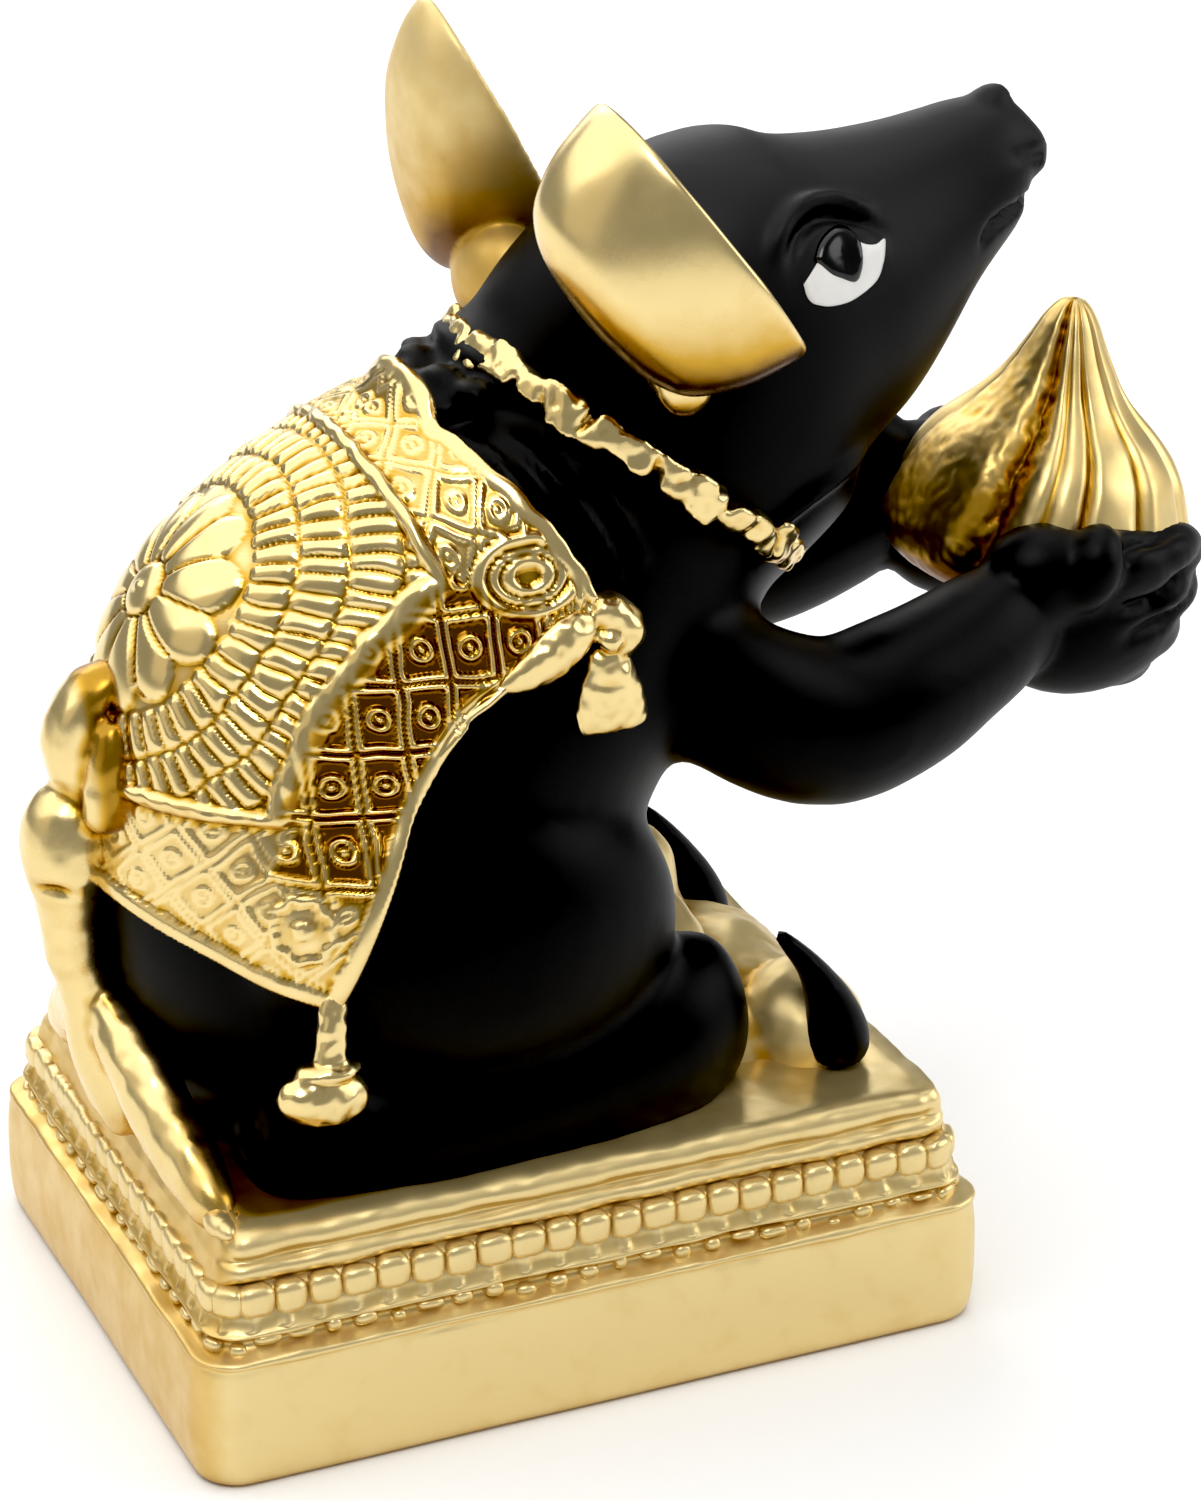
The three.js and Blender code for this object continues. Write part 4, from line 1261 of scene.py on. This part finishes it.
class FIGURINE_OT_cloth(bpy.types.Operator):
    """Lays the carved saddle cloth over the back"""

    bl_idname = "figurine.cloth"
    bl_label = "Saddle cloth"

    def execute(self, context):
        body = bpy.data.objects["black_body"].copy()
        body.data = body.data.copy()
        body.data.transform(Matrix.Scale(1 / MM, 4))
        surface = surface_of(body)
        bpy.data.objects.remove(body)
        piece = saddle_cloth(surface)
        recalculate(piece)
        mark_painted_shade(piece, 10, 0.22)
        finish(piece, "saddle_cloth", gold_finish("cloth_plating", 0.14, 0.26, 0.00002))
        return {"FINISHED"}


# Trimmings, tail and mound

def tassel_parts(side):
    """A stem from the cloth's corner, a collar and an oval ball."""
    (x, y, z), halves = TASSEL_BALL
    return [
        limb("stem", mirrored(TASSEL_STEM, side)),
        lump("collar", (x + 0.4, side * y, z + 1.9), (2.3, 1.5, 0.7)),
        lump("ball", (x, side * y, z), halves, 8),
    ]


def pendant_parts(side):
    """A fold of the cloth's corner, and a looped knot with a flared tag below it."""
    return [
        limb("fold", mirrored(CLOTH_FOLD, side)),
        limb("knot", mirrored(PENDANT_KNOT, side)),
        lump("knot_dot", (3.0, side * 16.4, 54.2), (0.9, 0.9, 0.9)),
        limb("tag", mirrored(PENDANT_TAG, side), blunt=6),
    ]


class FIGURINE_OT_trimmings(bpy.types.Operator):
    """Models the tassels and pendants that hang from the cloth's corners"""

    bl_idname = "figurine.trimmings"
    bl_label = "Trimmings"

    def execute(self, context):
        material = gold_finish("trimming_plating", 0.16, 0.28, 0.00003)
        for side, name in ((-1, "right"), (1, "left")):
            for kind, parts in (("tassel", tassel_parts(side)), ("pendant", pendant_parts(side))):
                piece = joined(kind, parts)
                one_skin(piece, 0.16, 2)
                roughen(piece, 0.9, 0.14, side)
                mark_painted_shade(piece, 8, 0.2)
                finish(piece, f"{kind}_{name}", material)
        return {"FINISHED"}


class FIGURINE_OT_tail(bpy.types.Operator):
    """Models the tail's loop and its drop to the plinth"""

    bl_idname = "figurine.tail"
    bl_label = "Tail"

    def execute(self, context):
        pieces = [limb("loop", TAIL_LOOP), limb("drop", TAIL_DROP)]
        for side in SIDES:
            pieces += [limb("filler", mirrored(TAIL_FILLER, side)), limb("skirt", mirrored(TAIL_SKIRT, side))]
        piece = joined("tail", pieces)
        one_skin(piece, 0.3, 10)
        for side in SIDES:
            press(piece, [(x, -side * y, z) for x, y, z in TAIL_CREASE], 0.4, 0.7)
        roughen(piece, 5.0, 0.2)
        roughen(piece, 1.4, 0.1, 3.0)
        points = points_of(piece)
        # painted shade where the loop lies against the cloth; darker, mottled plating low on the sides near the plinth
        by_cloth = 0.8 * soft_step(-29.6, -28.4, points[:, 0]) * soft_step(38.5, 41, points[:, 2])
        by_plinth = soft_step(6, 11, np.abs(points[:, 1])) * soft_step(-28.2, -26, points[:, 0])
        paint_stain_and_shade(piece, np.maximum(by_cloth, 0.6 * by_plinth * (0.6 + 0.4 * wander(points, 1.6, 5.0))))
        mark_painted_shade(piece, 8, 0.25)
        finish(piece, "tail", gold_finish("tail_plating", 0.2, 0.32, 0.00003))
        return {"FINISHED"}


class FIGURINE_OT_mound(bpy.types.Operator):
    """Models the lumpy mound under the chest"""

    bl_idname = "figurine.mound"
    bl_label = "Mound"

    def execute(self, context):
        shoulders = [lump("shoulder", middle, halves) for middle, halves in MOUND_SHOULDERS]
        piece = joined("mound", [limb("mound", MOUND, sides=64, rings=48)] + shoulders)
        one_skin(piece, 0.4, 14)
        roughen(piece, 4.5, 0.6)
        roughen(piece, 1.3, 0.1, 5.0)
        mark_painted_shade(piece, 10, 0.3)
        finish(piece, "mound", gold_finish("mound_plating", 0.38, 0.5, 0.00004, metal=0.7))
        return {"FINISHED"}


# Plinth

def plinth_loop(count, inset=0.0):
    """Points and outward ways round the plinth's outline or a line inside it, and the distance to each."""
    radius = max(PLINTH_CORNER - 0.5 * inset, 1.2)
    half_x, half_y = PLINTH_LENGTH / 2 - PLINTH_CORNER, PLINTH_WIDTH / 2 - PLINTH_CORNER
    arc = math.pi / 2 * PLINTH_CORNER
    runs = [2 * half_y, arc, 2 * half_x, arc, 2 * half_y, arc, 2 * half_x, arc]
    total = sum(runs)
    signs = [(1, 1), (-1, 1), (-1, -1), (1, -1)]
    corner_x = PLINTH_LENGTH / 2 - inset - radius
    corner_y = PLINTH_WIDTH / 2 - inset - radius
    loop = []
    for step in range(count):
        left = total * step / count
        part = 0
        while left > runs[part]:
            left -= runs[part]
            part += 1
        corner = part // 2
        share = left / runs[part]
        first = signs[corner - 1] if part % 2 == 0 else signs[corner]
        mix = [a + (b - a) * share for a, b in zip(first, signs[corner])]
        turn = (corner + share * (part % 2)) * math.pi / 2
        out = math.cos(turn), math.sin(turn)
        loop.append((mix[0] * corner_x + radius * out[0], mix[1] * corner_y + radius * out[1],
                     *out, total * step / count))
    return np.array(loop), total


def plinth_shape(pitch):
    """The moulded plinth, with small upright ticks in the cove below its beads."""
    count, rows = 600, 110
    profile = flow([(z, inset) for z, inset in PLINTH_PROFILE], np.linspace(0, 1, rows))
    profile[:, 0] = np.clip(profile[:, 0], 0, PLINTH_TOP)
    places = []
    for z, inset in profile:
        loop, _ = plinth_loop(count, inset)
        for slope, facing in ((REAR_SLOPE, -1), (FRONT_SLOPE, 1)):
            levels, insets = zip(*slope)
            if levels[0] < z and inset < insets[-1]:
                shift = (inset - np.interp(z, levels, insets)) * soft_step(0.35, 0.9, facing * loop[:, 2])
                loop[:, :2] += loop[:, 2:4] * shift[:, None]
        if TICK_LEVELS[0] < z < TICK_LEVELS[1]:
            beside = np.mod(loop[:, 4] / pitch, 1) - 0.5
            loop[:, :2] += loop[:, 2:4] * (0.3 * np.exp(-(beside * pitch / 0.28) ** 2))[:, None]
        places.append(np.column_stack([loop[:, :2], np.full(count, z)]))
    index = np.arange(rows * count).reshape(rows, count)
    beside = np.roll(index, -1, axis=1)
    faces = np.stack([index[:-1], beside[:-1], beside[1:], index[1:]], axis=2).reshape(-1, 4).tolist()
    faces += [index[0, ::-1].tolist(), index[-1].tolist()]
    mesh = bpy.data.meshes.new("plinth")
    mesh.from_pydata(np.concatenate(places).tolist(), [], faces)
    piece = bpy.data.objects.new("plinth", mesh)
    bpy.context.scene.collection.objects.link(piece)
    # painted shade: the rear faces are darkened, and the top is darker towards the rear, round the rump and tail
    top = np.repeat(soft_step(4.6, 5.6, profile[:, 1]), count)
    turned = np.tile(plinth_loop(count)[0][:, 2], rows)
    rear = 0.3 * soft_step(0.3, 0.9, -turned)
    paint_stain_and_shade(piece, np.maximum(top * soft_step(-6, -14, points_of(piece)[:, 0]), rear))
    return piece


def bead_row(pitch, z, inset, halves, square, uneven, smooth_run=(0, 0)):
    """A row of hand-made beads round the plinth, with one stretch where they run together."""
    loop, total = plinth_loop(3600, inset)
    count = int(round(total / pitch))
    spots = [((index + 0.5) / count, 1.0) for index in range(count)
             if not smooth_run[0] < (index + 0.5) / count * total < smooth_run[1]]
    spots += [(distance / total, 0.92) for distance in np.arange(*smooth_run, 0.45)]
    start()
    bpy.ops.mesh.primitive_uv_sphere_add(segments=14, ring_count=10, radius=1.0)
    first = bpy.context.object
    ball = points_of(first)
    ball = np.sign(ball) * np.abs(ball) ** square
    beads = []
    for index, (share, size) in enumerate(spots):
        spot = loop[int(share * len(loop))]
        out = np.array([spot[2], spot[3], 0.0])
        ahead = np.array([-spot[3], spot[2], 0.0])
        wide = halves[1] * size * (1 + uneven * (scatter(index, 1) - 0.5))
        tall = halves[2] * size * (1 + uneven * (scatter(index, 2) - 0.5))
        place = np.array([spot[0], spot[1], z + uneven * (scatter(index, 3) - 0.5)])
        bead = first.copy()
        bead.data = first.data.copy()
        bpy.context.scene.collection.objects.link(bead)
        move_points(bead, place + ball[:, :1] * out * halves[0] + ball[:, 1:2] * ahead * wide
                    + ball[:, 2:] * UP * tall)
        beads.append(bead)
    bpy.data.objects.remove(first)
    return joined("beads", beads)


def crumbs():
    """Crude lumps of casting on the plinth's rear lip and round the tail's foot."""
    pieces = []
    for index in range(CRUMB_COUNT):
        near_tail = index % 2
        across = (scatter(index, 1) - 0.5) * (15 if near_tail else 38)
        x = -PLINTH_LENGTH / 2 + (4.8 + 1.6 * scatter(index, 2) if near_tail else 3.5 + 0.5 * scatter(index, 2))
        z = PLINTH_TOP + (0.3 + 1.8 * scatter(index, 3) if near_tail else -0.4)
        size = 0.5 + 0.5 * scatter(index, 4)
        pieces.append(lump("crumb", (x, across, z), (size, size * (1 + scatter(index, 5)), 0.9 * size), 0, 14, 10))
    return pieces


class FIGURINE_OT_plinth(bpy.types.Operator):
    """Models the moulded plinth with its beads"""

    bl_idname = "figurine.plinth"
    bl_label = "Plinth"

    def execute(self, context):
        sizes = context.scene.figurine_sizes
        material = gold_finish("plinth_plating", 0.28, 0.38, 0.00003, metal=0.78)
        piece = plinth_shape(sizes.bead_pitch)
        recalculate(piece)
        band = points_of(piece)
        roughen(piece, 5.0, 0.24)
        roughen(piece, 1.8, 0.1, 2.0)
        points = points_of(piece)
        share = soft_step(8.6, 9.6, band[:, 2])[:, None]
        move_points(piece, points * share + band * (1 - share))
        roughen(piece, 14.0, 0.1, 4.0)
        points = points_of(piece)
        points[:, 2] = np.clip(points[:, 2], 0, None)
        move_points(piece, points)
        mark_painted_shade(piece, 10, 0.6)
        finish(piece, "plinth", material)
        beads = joined("beads", [
            bead_row(sizes.bead_pitch, 13.15, 2.2, BEAD_HALVES, 0.62, 0.2, SMOOTH_RUN),
            bead_row(2.4, 10.25, 1.55, SMALL_BEAD_HALVES, 0.8, 0.8),
        ] + crumbs())
        roughen(beads, 0.8, 0.08)
        mark_painted_shade(beads, 3, 0.5, 0.2)
        finish(beads, "plinth_beads", material)
        return {"FINISHED"}


# Studio

CAMERA_TURN = -23.79
CAMERA_RISE = 23.46
CAMERA_REACH = 331.6
CAMERA_SIDE = 8.7
CAMERA_LIFT = 36.93
CAMERA_LENS = 108.0
BLACK_LEVEL = 0.012


def add_camera():
    """A camera at the photograph's viewing angle."""
    start()
    bpy.ops.object.camera_add()
    camera = bpy.context.object
    camera.name = "camera"
    turn = Matrix.Rotation(math.radians(CAMERA_TURN), 4, "Z")
    tip = Matrix.Rotation(math.radians(90 - CAMERA_RISE), 4, "X")
    place = Matrix.Translation(Vector((CAMERA_SIDE, CAMERA_LIFT, CAMERA_REACH)) * MM)
    camera.matrix_world = turn @ tip @ place
    camera.data.lens = CAMERA_LENS
    camera.data.clip_start = 0.01
    camera.data.clip_end = 20.0
    bpy.context.scene.camera = camera


def add_light(name, place, size, power, colour=(1, 1, 1)):
    """A soft square light that points at the middle of the figurine."""
    start()
    bpy.ops.object.light_add(type="AREA", location=place)
    light = bpy.context.object
    light.name = name
    light.data.size = size
    light.data.energy = power
    light.data.color = colour
    way = Vector((0, 0, 0.045)) - Vector(place)
    light.rotation_euler = way.to_track_quat("-Z", "Y").to_euler()
    return light


class FIGURINE_OT_studio(bpy.types.Operator):
    """Sets up the floor, the lights and the camera"""

    bl_idname = "figurine.studio"
    bl_label = "Studio"

    def execute(self, context):
        colours = context.scene.figurine_colours
        start()
        bpy.ops.mesh.primitive_plane_add(size=6.0)
        floor = context.object
        floor.name = "floor"
        material, nodes, links, shader = new_material("floor_paper")
        shader.inputs["Base Color"].default_value = (*colours.floor, 1.0)
        shader.inputs["Roughness"].default_value = 0.9
        floor.data.materials.append(material)
        add_light("overhead", (-0.2, 0.25, 0.9), 1.7, 12.5)
        add_light("left_box", (-1.0, -0.1, 0.5), 0.7, 0.6, (1.0, 0.86, 0.62))
        add_light("right_box", (0.9, -0.3, 0.5), 0.7, 3.4)
        add_light("back_box", (0.2, 1.2, 0.6), 0.9, 4.0)
        add_light("front_box", (-0.15, -0.5, 0.9), 0.35, 2.2)
        world = context.scene.world or bpy.data.worlds.new("studio")
        context.scene.world = world
        world.use_nodes = True
        world.node_tree.nodes["Background"].inputs["Color"].default_value = (1, 1, 1, 1)
        world.node_tree.nodes["Background"].inputs["Strength"].default_value = 0.35
        view = context.scene.view_settings
        view.view_transform = "Standard"
        view.use_curve_mapping = True
        view.curve_mapping.black_level = (BLACK_LEVEL, BLACK_LEVEL, BLACK_LEVEL)
        view.curve_mapping.update()
        add_camera()
        return {"FINISHED"}


class FIGURINE_PT_panel(bpy.types.Panel):
    """Lists the figurine's pieces"""

    bl_idname = "FIGURINE_PT_panel"
    bl_label = "Figurine"
    bl_space_type = "VIEW_3D"
    bl_region_type = "UI"
    bl_category = "Figurine"

    def draw(self, context):
        for operator in OPERATORS:
            self.layout.operator(operator.bl_idname)


OPERATORS = (
    FIGURINE_OT_body, FIGURINE_OT_eyes, FIGURINE_OT_ears, FIGURINE_OT_necklace, FIGURINE_OT_cloth,
    FIGURINE_OT_trimmings, FIGURINE_OT_tail, FIGURINE_OT_mound, FIGURINE_OT_sweet, FIGURINE_OT_plinth,
    FIGURINE_OT_studio,
)
CLASSES = (FigurineSizes, FigurineColours, *OPERATORS, FIGURINE_PT_panel)


def register():
    for cls in CLASSES:
        bpy.utils.register_class(cls)
    bpy.types.Scene.figurine_sizes = bpy.props.PointerProperty(type=FigurineSizes)
    bpy.types.Scene.figurine_colours = bpy.props.PointerProperty(type=FigurineColours)


def unregister():
    del bpy.types.Scene.figurine_colours
    del bpy.types.Scene.figurine_sizes
    for cls in reversed(CLASSES):
        bpy.utils.unregister_class(cls)


def main():
    register()
    bpy.ops.figurine.body()
    bpy.ops.figurine.eyes()
    bpy.ops.figurine.ears()
    bpy.ops.figurine.necklace()
    bpy.ops.figurine.cloth()
    bpy.ops.figurine.trimmings()
    bpy.ops.figurine.tail()
    bpy.ops.figurine.mound()
    bpy.ops.figurine.sweet()
    bpy.ops.figurine.plinth()
    bpy.ops.figurine.studio()


if __name__ == "__main__":
    main()
